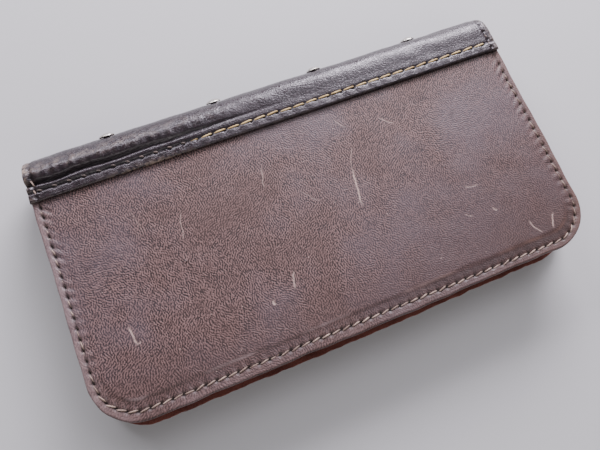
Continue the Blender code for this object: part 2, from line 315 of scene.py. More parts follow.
def brownLeather(name, look, marks=(), foreEdge=None):
    finish, tree, shader = startFinish(name)
    place = objectPlace(tree)
    sides = addNode(tree, "ShaderNodeSeparateXYZ", None, {"Vector": place})
    across, depth = sides.outputs["X"], sides.outputs["Y"]
    # the grain is winding ridges broken up by finer crumbs
    ridges = wormGrain(tree, place, look["grainWidth"], look["grainLean"], look["grainKind"])
    worm = remap(tree, ridges, 0.75, 0.25)
    crumb = noise(tree, place, 1.15 / look["grainWidth"], 2.0, 0.65, 0.3)
    grain = sums(tree, "ADD", sums(tree, "MULTIPLY", worm, 0.42), sums(tree, "MULTIPLY", crumb, 0.95))
    fine = noise(tree, place, 3600.0, 3.0, 0.6)
    patches = noise(tree, place, 36.0, 3.0, 0.55)
    spots = noise(tree, place, 140.0, 2.0, 0.6)
    wear = painted(tree, "wear")
    plain = painted(tree, "plain")
    depthShare = remap(tree, noise(tree, place, 330.0, 2.0), 0.30, 0.70, 0.70, 1.15)
    uneven = sums(tree, "MULTIPLY", sums(tree, "SUBTRACT", grain, 0.68), depthShare)
    grain = sums(tree, "ADD", uneven, 0.68)
    grained = sums(tree, "MULTIPLY", remap(tree, grain, 0.53, 0.88), sums(tree, "SUBTRACT", 1.0, plain))
    sharp = sums(tree, "ADD", grained, sums(tree, "MULTIPLY", plain, 0.55))
    body = blendColour(tree, sharp, look["furrow"], look["ridge"])
    # waxy haze that also stands in for painted sheen, warm patches and dark spots
    body = blendColour(tree, remap(tree, patches, 0.42, 0.70, 0.0, 0.50), body, look["waxHazeAndSheen"])
    body = blendColour(tree, remap(tree, patches, 0.52, 0.30, 0.0, 0.40), body, look["warm"])
    body = blendColour(tree, remap(tree, spots, 0.62, 0.78, 0.0, 0.45), body, look["furrow"])
    # painted shade: darker towards the fore edge, and more so towards the lower right corner
    if foreEdge is not None:
        foreShade = remap(tree, depth, foreEdge + 20 * mm, foreEdge + 2 * mm, 0.0, 0.45)
        body = blendColour(tree, foreShade, body, look["foreShadeTone"])
        corner = remap(tree, depth, foreEdge + 50 * mm, foreEdge + 14 * mm, 0.0, 0.50)
        corner = sums(tree, "MULTIPLY", remap(tree, across, -10 * mm, 60 * mm), corner)
        body = blendColour(tree, corner, body, look["foreShadeTone"])
    # rubbed edges
    breakup = noise(tree, place, 420.0, 3.0, 0.65)
    worn = sums(tree, "MULTIPLY", wear, remap(tree, breakup, 0.25, 0.65, 0.45, 1.0))
    toRight = remap(tree, across, -20 * mm, 60 * mm)
    edgeTone = blendColour(tree, toRight, look["wornEdge"], look["wornEdgeRight"])
    body = blendColour(tree, worn, body, edgeTone)
    pressed = sums(tree, "SUBTRACT", 1.0, sums(tree, "MULTIPLY", plain, 0.85))
    height = sums(tree, "MULTIPLY", grain, pressed)
    height = sums(tree, "ADD", height, sums(tree, "MULTIPLY", fine, 0.40))
    # pale flecks and scratches
    flecks = addNode(tree, "ShaderNodeTexVoronoi", None, {"Vector": place, "Scale": 270.0})
    total = sums(tree, "MULTIPLY", remap(tree, flecks.outputs["Distance"], 0.060, 0.02), 0.8)
    wobble = noise(tree, place, 260.0, 2.0)
    for start, end, width, strength in marks:
        mark = sums(tree, "MULTIPLY", scratchMark(tree, place, start, end, width, wobble), strength)
        total = sums(tree, "MAXIMUM", total, mark)
    torn = sums(tree, "MULTIPLY", total, remap(tree, fine, 0.30, 0.62, 0.35, 1.0))
    body = blendColour(tree, torn, body, look["scratch"])
    height = sums(tree, "SUBTRACT", height, sums(tree, "MULTIPLY", total, 0.8))
    # painted shade and shadow from the seamShade attribute
    body = blendColour(tree, painted(tree, "seamShade"), body, look["seam"])
    plug(tree, shader.inputs["Base Color"], body)
    low, high = look["roughness"]
    rough = remap(tree, sums(tree, "ADD", patches, sums(tree, "MULTIPLY", fine, 0.4)), 0.45, 0.90, high, low)
    plug(tree, shader.inputs["Roughness"], rough)
    plug(tree, shader.inputs["Normal"], bumps(tree, height, 0.6, look["bump"]))
    shader.inputs["Specular IOR Level"].default_value = 0.42
    shader.inputs["Sheen Weight"].default_value = 0.06
    shader.inputs["Sheen Roughness"].default_value = 0.45
    return finish


darkLook = {
    "deep": (0.006, 0.004, 0.005),
    "body": (0.034, 0.023, 0.028),
    "worn": (0.420, 0.320, 0.250),
    # painted shade colour for holes, slits and the crease
    "seam": (0.003, 0.002, 0.002),
    "grainWidth": 0.80 * mm,
    "roughness": (0.17, 0.31),
    "bump": 0.065 * mm,
    "dullValley": 0.16,
    "shine": (0.985, 0.945, 1.0),
}


def darkLeather(name, look):
    finish, tree, shader = startFinish(name)
    place = objectPlace(tree)
    pebble = noise(tree, place, 1.35 / look["grainWidth"], 1.5, 0.5, 0.4)
    crumb = noise(tree, place, 2.4 / look["grainWidth"], 1.0, 0.5)
    grain = sums(tree, "ADD", sums(tree, "MULTIPLY", pebble, 0.65), sums(tree, "MULTIPLY", crumb, 0.45))
    patches = noise(tree, place, 60.0, 3.0, 0.6)
    body = blendColour(tree, remap(tree, grain, 0.42, 0.68), look["deep"], look["body"])
    body = blendColour(tree, remap(tree, patches, 0.45, 0.75, 0.0, 0.4), body, look["body"])
    breakup = noise(tree, place, 900.0, 3.0, 0.7)
    # wear colour; above the crease at the left of the roll it also paints a highlight
    worn = sums(tree, "MULTIPLY", painted(tree, "wear"), remap(tree, breakup, 0.38, 0.60))
    body = blendColour(tree, worn, body, look["worn"])
    # painted shade from the seamShade attribute
    body = blendColour(tree, painted(tree, "seamShade"), body, look["seam"])
    plug(tree, shader.inputs["Base Color"], body)
    low, high = look["roughness"]
    dull = sums(tree, "MULTIPLY", painted(tree, "seamShade"), 0.4)
    dull = sums(tree, "ADD", sums(tree, "ADD", patches, worn), dull)
    valley = remap(tree, grain, 0.62, 0.44, 0.0, look["dullValley"])
    rough = sums(tree, "ADD", remap(tree, dull, 0.35, 0.75, low, high), valley)
    plug(tree, shader.inputs["Roughness"], rough)
    height = remap(tree, grain, 0.42, 0.66)
    plug(tree, shader.inputs["Normal"], bumps(tree, height, 0.6, look["bump"]))
    shader.inputs["Specular IOR Level"].default_value = 0.55
    shader.inputs["Specular Tint"].default_value = (*look["shine"], 1.0)
    return finish


suedeLook = {
    "dark": (0.090, 0.026, 0.022),
    "light": (0.260, 0.092, 0.074),
    # painted shade colour for the holes and the channel
    "seam": (0.015, 0.006, 0.005),
    "nap": (0.75, 0.42, 0.36),
    "fibre": 0.35 * mm,
    "bump": 0.22 * mm,
}


def redSuede(name, look):
    finish, tree, shader = startFinish(name)
    place = objectPlace(tree)
    nap = noise(tree, place, 1.0 / look["fibre"], 4.0, 0.7, 0.6)
    brushed = noise(tree, vectors(tree, "MULTIPLY", place, (1.0, 3.0, 1.0)), 130.0, 3.0, 0.6)
    tone = sums(tree, "ADD", sums(tree, "MULTIPLY", nap, 0.65), sums(tree, "MULTIPLY", brushed, 0.45))
    body = blendColour(tree, remap(tree, tone, 0.35, 0.75), look["dark"], look["light"])
    # painted shade from the seamShade attribute
    body = blendColour(tree, painted(tree, "seamShade"), body, look["seam"])
    plug(tree, shader.inputs["Base Color"], body)
    plug(tree, shader.inputs["Roughness"], remap(tree, brushed, 0.3, 0.7, 0.82, 0.97))
    plug(tree, shader.inputs["Normal"], bumps(tree, nap, 0.8, look["bump"]))
    shader.inputs["Specular IOR Level"].default_value = 0.2
    shader.inputs["Sheen Weight"].default_value = 0.22
    shader.inputs["Sheen Roughness"].default_value = 0.6
    shader.inputs["Sheen Tint"].default_value = (*look["nap"], 1.0)
    return finish


threadLooks = {
    "brown": {"dark": (0.130, 0.076, 0.056), "light": (0.560, 0.410, 0.330)},
    "soiled": {"dark": (0.018, 0.012, 0.010), "light": (0.230, 0.165, 0.140)},
    "gold": {"dark": (0.380, 0.230, 0.075), "light": (0.950, 0.720, 0.340)},
}
# painted shade on the thread
threadHoleShade = (0.030, 0.020, 0.015)  # where a stitch goes into its hole


def sewingThread(name, look):
    finish, tree, shader = startFinish(name)
    place = objectPlace(tree)
    fibre = noise(tree, place, 5200.0, 3.0, 0.7)
    age = noise(tree, place, 210.0, 2.0, 0.6)
    tone = sums(tree, "ADD", sums(tree, "MULTIPLY", fibre, 0.6), sums(tree, "MULTIPLY", age, 0.55))
    body = blendColour(tree, remap(tree, tone, 0.38, 0.78), look["dark"], look["light"])
    # painted shade where the thread goes into its holes
    body = blendColour(tree, painted(tree, "seamShade"), body, threadHoleShade)
    plug(tree, shader.inputs["Base Color"], body)
    plug(tree, shader.inputs["Roughness"], remap(tree, fibre, 0.3, 0.7, 0.50, 0.72))
    plug(tree, shader.inputs["Normal"], bumps(tree, fibre, 0.5, 0.05 * mm))
    shader.inputs["Sheen Weight"].default_value = 0.2
    return finish


nickelLook = {"bright": (0.72, 0.70, 0.66), "dull": (0.34, 0.31, 0.27), "roughness": (0.16, 0.42)}


def wornNickel(name, look):
    finish, tree, shader = startFinish(name)
    place = objectPlace(tree)
    tarnish = noise(tree, place, 520.0, 4.0, 0.65)
    rubs = noise(tree, vectors(tree, "MULTIPLY", place, (1.0, 6.0, 6.0)), 900.0, 3.0, 0.6)
    mix = sums(tree, "ADD", sums(tree, "MULTIPLY", tarnish, 0.7), sums(tree, "MULTIPLY", rubs, 0.35))
    body = blendColour(tree, remap(tree, mix, 0.40, 0.68), look["bright"], look["dull"])
    plug(tree, shader.inputs["Base Color"], body)
    plug(tree, shader.inputs["Roughness"], remap(tree, mix, 0.38, 0.70, *look["roughness"]))
    plug(tree, shader.inputs["Normal"], bumps(tree, rubs, 0.25, 0.04 * mm))
    shader.inputs["Metallic"].default_value = 1.0
    return finish


boardLook = {"dark": (0.20, 0.175, 0.145), "light": (0.40, 0.365, 0.315)}


def greyBoard(name, look):
    finish, tree, shader = startFinish(name)
    place = objectPlace(tree)
    pulp = noise(tree, vectors(tree, "MULTIPLY", place, (0.4, 1.0, 1.0)), 900.0, 4.0, 0.7)
    flecks = noise(tree, place, 2600.0, 2.0, 0.6)
    tone = sums(tree, "ADD", sums(tree, "MULTIPLY", pulp, 0.7), sums(tree, "MULTIPLY", flecks, 0.35))
    body = blendColour(tree, remap(tree, tone, 0.35, 0.7), look["dark"], look["light"])
    plug(tree, shader.inputs["Base Color"], body)
    plug(tree, shader.inputs["Roughness"], remap(tree, flecks, 0.3, 0.7, 0.80, 0.95))
    plug(tree, shader.inputs["Normal"], bumps(tree, pulp, 0.4, 0.08 * mm))
    return finish


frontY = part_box("front_outer_leather")[0].y
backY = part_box("back_outer_leather")[0].y
# thinner leather, with a grain that also suits upright faces
pocketBrownLook = {
    # a warmer waxy haze and painted sheen on the pockets
    **brownLook, "grainWidth": 0.52 * mm, "grainKind": "3D", "waxHazeAndSheen": (0.115, 0.080, 0.075),
}
finishes = {
    "frontBrown": brownLeather("frontBrownLeather", brownLook, coverMarks, frontY),
    "backBrown": brownLeather("backBrownLeather", brownLook, (), backY),
    "pocketBrown": brownLeather("pocketBrownLeather", pocketBrownLook),
    "dark": darkLeather("darkSpineLeather", darkLook),
    "suede": redSuede("redSuedeLining", suedeLook),
    "brownThread": sewingThread("brownSewingThread", threadLooks["brown"]),
    "soiledThread": sewingThread("soiledSewingThread", threadLooks["soiled"]),
    "goldThread": sewingThread("goldSewingThread", threadLooks["gold"]),
    "nickel": wornNickel("wornNickelStud", nickelLook),
    "board": greyBoard("rawGreyBoard", boardLook),
}
print("finishes are ready:", len(finishes))


# mesh helpers


def softNoise(seed, waves, low, high):
    # a sum of plane waves with lengths between low and high, about -1 to 1
    draw = np.random.default_rng(seed)
    angles = draw.uniform(0, 2 * math.pi, waves)
    lengths = draw.uniform(low, high, waves)
    phases = draw.uniform(0, 2 * math.pi, waves)

    def value(x, y):
        total = 0.0
        for angle, length, phase in zip(angles, lengths, phases):
            along = (np.cos(angle) * x + np.sin(angle) * y) * 2 * math.pi / length
            total = total + np.sin(along + phase)
        return total / math.sqrt(waves)

    return value


def bell(value, middle, width):
    return np.exp(-(((value - middle) / width) ** 2))


def step(value, low, high):
    t = np.clip((value - low) / (high - low), 0.0, 1.0)
    return t * t * (3 - 2 * t)


def gridFaces(rows, columns, wrap):
    faces = []
    last = columns if wrap else columns - 1
    for row in range(rows - 1):
        for column in range(last):
            after = (column + 1) % columns
            faces.append((
                row * columns + column, row * columns + after,
                (row + 1) * columns + after, (row + 1) * columns + column,
            ))
    return faces


def finishPiece(name, points, faces, finish, paint=None, merge=0.0):
    mesh = bpy.data.meshes.new(name)
    mesh.from_pydata(np.asarray(points).reshape(-1, 3).tolist(), [], faces)
    for key, values in (paint or {}).items():
        layer = mesh.attributes.new(key, "FLOAT", "POINT")
        layer.data.foreach_set("value", np.asarray(values, np.float32).ravel())
    shape = bmesh.new()
    shape.from_mesh(mesh)
    if merge:
        bmesh.ops.remove_doubles(shape, verts=shape.verts, dist=merge)
    bmesh.ops.recalc_face_normals(shape, faces=shape.faces)
    shape.to_mesh(mesh)
    shape.free()
    mesh.shade_smooth()
    mesh.materials.append(finishes[finish])
    piece = bpy.data.objects.new(name, mesh)
    bpy.context.collection.objects.link(piece)
    return piece


class RingShape:
    # nested rounded outlines with the same number of points on each

    def __init__(self, rect, foreRadius, spineRadius, spacing):
        self.rect = rect
        self.radii = (foreRadius, spineRadius)
        width, depth = rect[2] - rect[0], rect[3] - rect[1]
        quarter = 1.57 / spacing  # points to a quarter turn of unit radius
        self.counts = {
            "long": int(width / spacing), "short": int(depth / spacing),
            "fore": max(6, int(foreRadius * quarter)), "spine": max(3, int(spineRadius * quarter)),
        }
        self.normals = self.normalLoop()

    def loop(self, inset):
        x0, y0, x1, y1 = self.rect
        x0, y0, x1, y1 = x0 + inset, y0 + inset, x1 - inset, y1 - inset
        fore = max(self.radii[0] - inset, 0.2 * mm)
        spine = max(self.radii[1] - inset, 0.2 * mm)
        count = self.counts
        return np.concatenate([
            self.line((x0, y1 - spine), (x0, y0 + fore), count["short"]),
            self.arc((x0 + fore, y0 + fore), fore, 180, count["fore"]),
            self.line((x0 + fore, y0), (x1 - fore, y0), count["long"]),
            self.arc((x1 - fore, y0 + fore), fore, 270, count["fore"]),
            self.line((x1, y0 + fore), (x1, y1 - spine), count["short"]),
            self.arc((x1 - spine, y1 - spine), spine, 0, count["spine"]),
            self.line((x1 - spine, y1), (x0 + spine, y1), count["long"]),
            self.arc((x0 + spine, y1 - spine), spine, 90, count["spine"]),
        ])

    def normalLoop(self):
        count = self.counts
        return np.concatenate([
            self.same((-1, 0), count["short"]), self.arc((0, 0), 1, 180, count["fore"]),
            self.same((0, -1), count["long"]), self.arc((0, 0), 1, 270, count["fore"]),
            self.same((1, 0), count["short"]), self.arc((0, 0), 1, 0, count["spine"]),
            self.same((0, 1), count["long"]), self.arc((0, 0), 1, 90, count["spine"]),
        ])

    @staticmethod
    def same(normal, number):
        return np.tile(np.array(normal, float), (number, 1))

    @staticmethod
    def line(start, end, number):
        share = np.linspace(0, 1, number, endpoint=False)[:, None]
        return np.array(start) * (1 - share) + np.array(end) * share

    @staticmethod
    def arc(centre, radius, first, number):
        angle = np.radians(first + 90 * np.linspace(0, 1, number, endpoint=False))
        return np.stack([centre[0] + radius * np.cos(angle), centre[1] + radius * np.sin(angle)], axis=1)

    def middle(self):
        return min(self.rect[2] - self.rect[0], self.rect[3] - self.rect[1]) / 2 - 0.03 * mm

    def run(self, inset):
        # distance along the loop from its start, which is the left end's spine corner
        loop = self.loop(inset)
        steps = np.linalg.norm(np.roll(loop, -1, axis=0) - loop, axis=1)
        return np.concatenate([[0.0], np.cumsum(steps)[:-1]])


def seamPlaces(shape, inset, pitch, start, stop):
    # needle holes along the three sewn sides: how far along each is, and its place
    loop, run = shape.loop(inset), shape.run(inset)
    count = shape.counts
    end = run[2 * count["short"] + 2 * count["fore"] + count["long"] - 1] - stop
    holes = np.arange(start, end, pitch)
    x = np.interp(holes, run, loop[:, 0])
    y = np.interp(holes, run, loop[:, 1])
    return holes, np.stack([x, y], axis=1)


def fromNearest(run, holes):
    # how far each place is from its nearest needle hole
    pitch = holes[1] - holes[0]
    nearest = holes[np.clip(np.round((run - holes[0]) / pitch).astype(int), 0, len(holes) - 1)]
    return run - nearest


def holeShare(run, inset, holes, seamInset, radius):
    # 1 in a needle hole, 0 away from it
    away = fromNearest(run, holes) / (1.25 * radius)
    aside = (inset - seamInset) / (0.85 * radius)
    return np.exp(-(away**2) - aside**2)


def ringPanel(name, shape, section, faceZ, inward, relief, finish, shift=None, rebate=0.0):
    # section is rows of (inset, depth, weight of the relief), rebate makes room for the spine strip
    run = shape.run(edgeSeam["inset"])
    points, wears, shades, plains = [], [], [], []
    for inset, depth, weight in section:
        loop = shape.loop(inset)
        x, y = loop[:, 0].copy(), loop[:, 1].copy()
        lower, wear, shade, plain = relief(inset, run, shape.normals, x, y)
        if shift is not None:
            dx, dy = shift(inset, run, shape.normals, x, y)
            x, y = x + dx, y + dy
        deeper = np.maximum(depth, rebate * step(y, stripY - 0.35 * mm, stripY - 0.15 * mm))
        z = faceZ + inward * (deeper + weight * lower)
        points.append(np.stack([x, y, z], axis=1))
        wears.append(wear)
        shades.append(shade * weight)
        plains.append(plain)
    rings = np.array(points)
    faces = gridFaces(rings.shape[0], rings.shape[1], True)
    paint = {"wear": np.array(wears), "seamShade": np.array(shades), "plain": np.array(plains)}
    return finishPiece(name, rings, faces, finish, paint, merge=0.07 * mm)


# stitches

edgeSeam = {
    "inset": 1.9 * mm, "pitch": 2.79 * mm,
    "start": 3.9 * mm, "stop": 6.6 * mm,  # kept clear of the spine strip
}
edgeHole = 0.37 * mm
stripSeam = {"inset": 2.8 * mm, "pitch": 3.9 * mm, "hole": 0.40 * mm}
threadSizes = {
    "edge": {
        "radius": 0.23 * mm, "lift": 0.34 * mm, "sink": 0.32 * mm, "slant": 0.62 * mm,
        "twist": 1.4, "arch": 0.6, "vary": 0.30,
    },
    "strip": {
        "radius": 0.27 * mm, "lift": 0.36 * mm, "sink": 0.24 * mm, "slant": 0.30 * mm,
        "twist": 2.2, "arch": 0.3, "vary": 0.12,
    },
    "knot": {
        "radius": 0.26 * mm, "lift": 0.34 * mm, "sink": 0.22 * mm, "slant": 0.10 * mm,
        "twist": 1.0, "arch": 0.6, "vary": 0.12,
    },
    "inner": {
        "radius": 0.24 * mm, "lift": 0.30 * mm, "sink": 0.26 * mm, "slant": 0.10 * mm,
        "twist": 1.6, "arch": 0.6, "vary": 0.12,
    },
}
stitchSections, stitchSides = 9, 8


def stitchRow(name, starts, ends, ups, size, finish, seed):
    draw = np.random.default_rng(seed)
    t = np.linspace(0, 1, stitchSections)
    angle = np.linspace(0, 2 * math.pi, stitchSides, endpoint=False)
    tube = gridFaces(stitchSections, stitchSides, True)
    points, faces, shades = [], [], []
    for start, end, up in zip(starts, ends, ups):
        jitter = draw.normal(0, 1, 4)
        up = up / np.linalg.norm(up)
        along = (end - start) / np.linalg.norm(end - start)
        side = np.cross(up, along)
        arch = np.sin(math.pi * t) ** size["arch"]
        lift = size["lift"] * (1 + size["vary"] * np.clip(jitter[0], -2, 1))
        height = lift * arch - size["sink"]
        offset = size["slant"] * (1 + 0.3 * jitter[1]) * (t - 0.5) + 0.05 * mm * jitter[2]
        centre = (
            start + (0.04 + 0.92 * t)[:, None] * (end - start)
            + height[:, None] * up + offset[:, None] * side
        )
        radius = size["radius"] * (0.62 + 0.38 * arch)
        ply = 1 + 0.15 * np.cos(2 * angle[None, :] + 2 * math.pi * size["twist"] * t[:, None])
        across = (radius[:, None] * ply * np.cos(angle)[None, :])[..., None] * side
        raised = (0.85 * radius[:, None] * ply * np.sin(angle)[None, :])[..., None] * up
        base = len(points) * stitchSections * stitchSides
        points.append(centre[:, None, :] + across + raised)
        # painted shade, darker where the thread dips into its holes
        shades.append(np.repeat(1 - arch[:, None], stitchSides, axis=1) * 0.8)
        faces += [tuple(base + corner for corner in face) for face in tube]
        faces.append(tuple(base + corner for corner in range(stitchSides)))
        last = base + (stitchSections - 1) * stitchSides
        faces.append(tuple(last + corner for corner in range(stitchSides)))
    return finishPiece(name, np.array(points), faces, finish, {"seamShade": np.array(shades)})


def flatSeam(name, places, z, up, size, finish, seed):
    # stitches between neighbouring holes on a flat face
    holes = np.column_stack([places, np.full(len(places), z)])
    ups = np.tile([0.0, 0.0, float(up)], (len(places) - 1, 1))
    return stitchRow(name, holes[:-1], holes[1:], ups, size, finish, seed)


# covers

coverLook = {
    "cornerRadius": 12 * mm,
    "spineCorner": 0.8 * mm,
    "spacing": 0.28 * mm,
    "turnIn": 4.5 * mm,
    "marginDrop": 0.30 * mm,  # the sewn margin lies this much lower than the boarded part
    "pressLine": 0.12 * mm,
    "foreSwell": 0.65 * mm,  # how far the worn fore edge has spread
    "backSkew": 1.0 * mm,  # the lower cover lies a little crooked under it
    "channel": 0.20 * mm,
    "hole": 0.55 * mm,
    "pucker": 0.07 * mm,
    "sag": 0.10 * mm,
    "boardSpace": 0.95 * mm,  # room for the stiffener inside the leather
    "stripRoom": 1.0 * mm,  # how far the lower cover steps in under the spine strip
}
broadWave = softNoise(11, 7, 28 * mm, 90 * mm)
smallWave = softNoise(12, 9, 5 * mm, 14 * mm)
edgeWave = softNoise(13, 6, 9 * mm, 40 * mm)
puckerWave = softNoise(14, 6, 4 * mm, 11 * mm)


def coverRelief(holes):
    look, seam = coverLook, edgeSeam

    def relief(inset, run, normals, x, y):
        fore = np.clip(-normals[:, 1], 0, 1)
        ends = np.abs(normals[:, 0])
        sewn = np.clip(1 - 3 * np.clip(normals[:, 1], 0, 1), 0, 1) * (y < stripY + 0.5 * mm)
        margin = 1 - step(inset, look["turnIn"] - 0.5 * mm, look["turnIn"] + 0.5 * mm)
        lower = look["marginDrop"] * margin * (0.35 + 0.65 * fore) * sewn
        press = bell(inset, look["turnIn"] + 0.25 * mm, 0.35 * mm)
        lower = lower + look["pressLine"] * press * fore * (0.7 + 0.5 * edgeWave(x, y))
        seamBell = bell(inset, seam["inset"], 0.50 * mm)
        lower = lower + look["channel"] * seamBell * sewn
        hole = holeShare(run, inset, holes, seam["inset"], edgeHole) * sewn
        lower = lower + look["hole"] * hole
        beat = np.cos(2 * math.pi * (run - holes[0]) / seam["pitch"])
        inside = bell(inset, seam["inset"] + 0.9 * mm, 1.3 * mm)
        pucker = look["pucker"] * beat * inside * sewn
        lower = lower + pucker * (0.6 + 0.6 * ends) * (1 + 0.5 * puckerWave(x, y))
        lower = lower + look["sag"] * (0.5 + 0.5 * broadWave(x, y)) * step(inset, 2 * mm, 12 * mm)
        lower = lower + 0.028 * mm * smallWave(x, y)
        # wear: the rubbed lip, ticks of thread pull and the scuffed press line
        lip = np.exp(-inset / (1.3 * mm)) * (0.12 + 0.90 * ends + 0.25 * edgeWave(x, y))
        phase = (run - holes[0]) / seam["pitch"] + 0.30 * (inset - seam["inset"]) / mm
        near = np.abs(phase - np.round(phase)) * seam["pitch"]
        tick = bell(near, 0, 0.30 * mm) * bell(inset, seam["inset"] + 0.75 * mm, 0.45 * mm) * sewn
        scuffed = 0.30 + 0.35 * step(x, 0, 30 * mm) + 0.8 * puckerWave(0.5 * x, y)
        scuff = press * fore * np.clip(scuffed, 0.1, 1)
        hollow = step(inset, 2.3 * mm, 3.0 * mm) * (1 - step(inset, 3.9 * mm, 4.5 * mm)) * fore
        wear = np.clip(lip + 0.30 * seamBell * (0.4 + 0.6 * ends) + 0.55 * tick + 0.85 * scuff, 0, 1) * sewn
        # painted shade in the holes, the channel and the hollow inside the press line, and a painted shadow
        # where the strip lies over the cover
        thin = bell(inset, seam["inset"], 0.20 * mm) * ends
        shade = hole * 1.2 + (0.18 * seamBell + 0.5 * thin) * sewn
        shade = shade + hollow * (0.12 + 0.30 * step(x, -20 * mm, 45 * mm))
        under = np.exp(-np.clip(stripY - y, 0, None) / (0.40 * mm))
        shade = np.clip(shade + under * (0.35 + 0.5 * step(x, -30 * mm, 30 * mm)), 0, 1)
        plain = 0.12 * (1 - step(inset, seam["inset"] - 0.3 * mm, seam["inset"] + 0.9 * mm)) * sewn
        return np.maximum(lower, 0), wear, shade, plain

    return relief


def coverShift(inset, run, normals, x, y):
    # outlines of cut leather wander a little
    share = np.exp(-inset / (5 * mm)) * 0.12 * mm * edgeWave(1.7 * x, 1.3 * y)
    fore = np.clip(-normals[:, 1], 0, 1) * (1 - step(inset, 0.2 * mm, 1.9 * mm))
    if np.min(y) > frontY - 0.1 * mm:  # only the upper cover has been pressed out
        fore = fore * coverLook["foreSwell"] * (1 - 0.9 * step(x, 0.0, 56 * mm))
    else:
        fore = -fore * coverLook["backSkew"] * step(x, 0.0, 62 * mm)
    return normals[:, 0] * share, normals[:, 1] * share - fore


def faceInsets(fineTo, fineStep, shape):
    rows = list(np.arange(0.75 * mm, fineTo, fineStep))
    reach, gap = fineTo, fineStep
    while reach < shape.middle():
        rows.append(reach)
        gap = min(gap * 1.35, 2.2 * mm)
        reach += gap
    rows.append(shape.middle())
    return rows


def edgeRound(thickness, bulge=0.55):
    # half round between the two faces, as (inset, depth) from the inner face out
    radius = thickness / 2
    rows = []
    for angle in np.linspace(80, -80, 9):
        turn = math.radians(angle)
        rows.append((bulge * mm * (1 - math.cos(turn)), radius + radius * math.sin(turn)))
    return rows


def makeCover(side, rect, faceZ, inward, thickness, body):
    # inward is +1 or -1 along Z, from the leather's outer face into the case
    look = coverLook
    shape = RingShape(rect, look["cornerRadius"], look["spineCorner"], look["spacing"])
    holes, places = seamPlaces(shape, **edgeSeam)
    boardDepth = thickness - look["boardSpace"]
    section = [(shape.middle(), boardDepth, 0.0), (14 * mm, boardDepth, 0.0)]
    section += [(look["turnIn"] - 0.15 * mm, boardDepth, 0.0), (look["turnIn"] - 0.2 * mm, thickness, 0.0)]
    section += [(2 * mm, thickness, 0.0)]
    section += [(inset, depth, 0.5) for inset, depth in edgeRound(thickness)]
    section += [(inset, 0.0, 1.0) for inset in faceInsets(6.6 * mm, 0.28 * mm, shape)]
    leather = ringPanel(
        side + "CoverLeather", shape, section, faceZ, inward, coverRelief(holes),
        side + "Brown", coverShift, look["stripRoom"] if side == "back" else 0.0,
    )
    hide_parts(side + "_outer_leather")
    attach(leather, body)
    seamZ = faceZ + inward * (look["marginDrop"] * 0.7 + look["channel"])
    thread = flatSeam(
        side + "EdgeStitches", places, seamZ, -inward,
        threadSizes["edge"], "brownThread", 21,
    )
    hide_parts(side + "_edge_thread")
    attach(thread, body)
    board = bpy.data.objects[side + "_board"].data
    board.materials.clear()
    board.materials.append(finishes["board"])
    return places


def makeLining(side, rect, faceZ, inward, thickness, body, places, shift):
    # inward is +1 or -1 along Z, from the lining's free face into the cover
    shape = RingShape(rect, coverLook["cornerRadius"], coverLook["spineCorner"], 0.45 * mm)
    holes, _ = seamPlaces(shape, **edgeSeam)

    def relief(inset, run, normals, x, y):
        sewn = np.clip(1 - 3 * np.clip(normals[:, 1], 0, 1), 0, 1)
        seamBell = bell(inset, edgeSeam["inset"], 0.45 * mm) * sewn
        hole = holeShare(run, inset, holes, edgeSeam["inset"], edgeHole) * sewn
        lower = 0.16 * mm * seamBell + 0.03 * mm * smallWave(x, y) + 0.05 * mm * (1 + broadWave(x, y))
        # the third value is painted shade in the holes and the channel
        return lower, 0 * x, np.clip(hole + 0.2 * seamBell, 0, 1), 0 * x

    section = [(shape.middle(), thickness, 0.0), (12 * mm, thickness, 0.0), (1.5 * mm, thickness, 0.0)]
    section += [(inset, depth, 0.2) for inset, depth in edgeRound(thickness, 0.25)]
    section += [(inset, 0.0, 1.0) for inset in faceInsets(3.6 * mm, 0.45 * mm, shape)]
    lining = ringPanel(
        side + "SuedeLining", shape, section, faceZ, inward, relief, "suede", shift,
    )
    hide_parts(side + "_suede_lining")
    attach(lining, body)
    inner = flatSeam(
        side + "LiningStitches", places, faceZ + inward * 0.15 * mm, -inward,
        threadSizes["inner"], "brownThread", 22,
    )
    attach(inner, body)


def rawEdgeShift(reach):
    # a raw suede edge, standing out further towards the left end
    def shift(inset, run, normals, x, y):
        fore = np.clip(-normals[:, 1], 0, 1) * np.exp(-inset / (3 * mm))
        lean = reach - (abs(reach) + 0.7 * mm) * step(x, -10 * mm, 62 * mm)
        ragged = 0.10 * mm * edgeWave(3.1 * x, y) + 0.06 * mm * puckerWave(2 * x, y)
        return 0 * x, -fore * (lean + ragged)

    return shift


backLow, backHigh = boxFaces("back_outer_leather")
frontLow, frontHigh = boxFaces("front_outer_leather")
backPlaces = makeCover(
    "back", boxRect("back_outer_leather"), backLow, 1, backHigh - backLow, "back_cover",
)
frontPlaces = makeCover(
    "front", boxRect("front_outer_leather"), frontHigh, -1, frontHigh - frontLow, "front_cover",
)
liningLow, liningHigh = boxFaces("back_suede_lining")
makeLining(
    "back", boxRect("back_suede_lining"), liningHigh, -1, liningHigh - liningLow, "back_cover",
    backPlaces, rawEdgeShift(0.35 * mm),
)
liningLow, liningHigh = boxFaces("front_suede_lining")
makeLining(
    "front", boxRect("front_suede_lining"), liningLow, 1, liningHigh - liningLow, "front_cover",
    frontPlaces, rawEdgeShift(-0.5 * mm),
)
print("covers, linings and edge seams are sewn")


# rolled spine

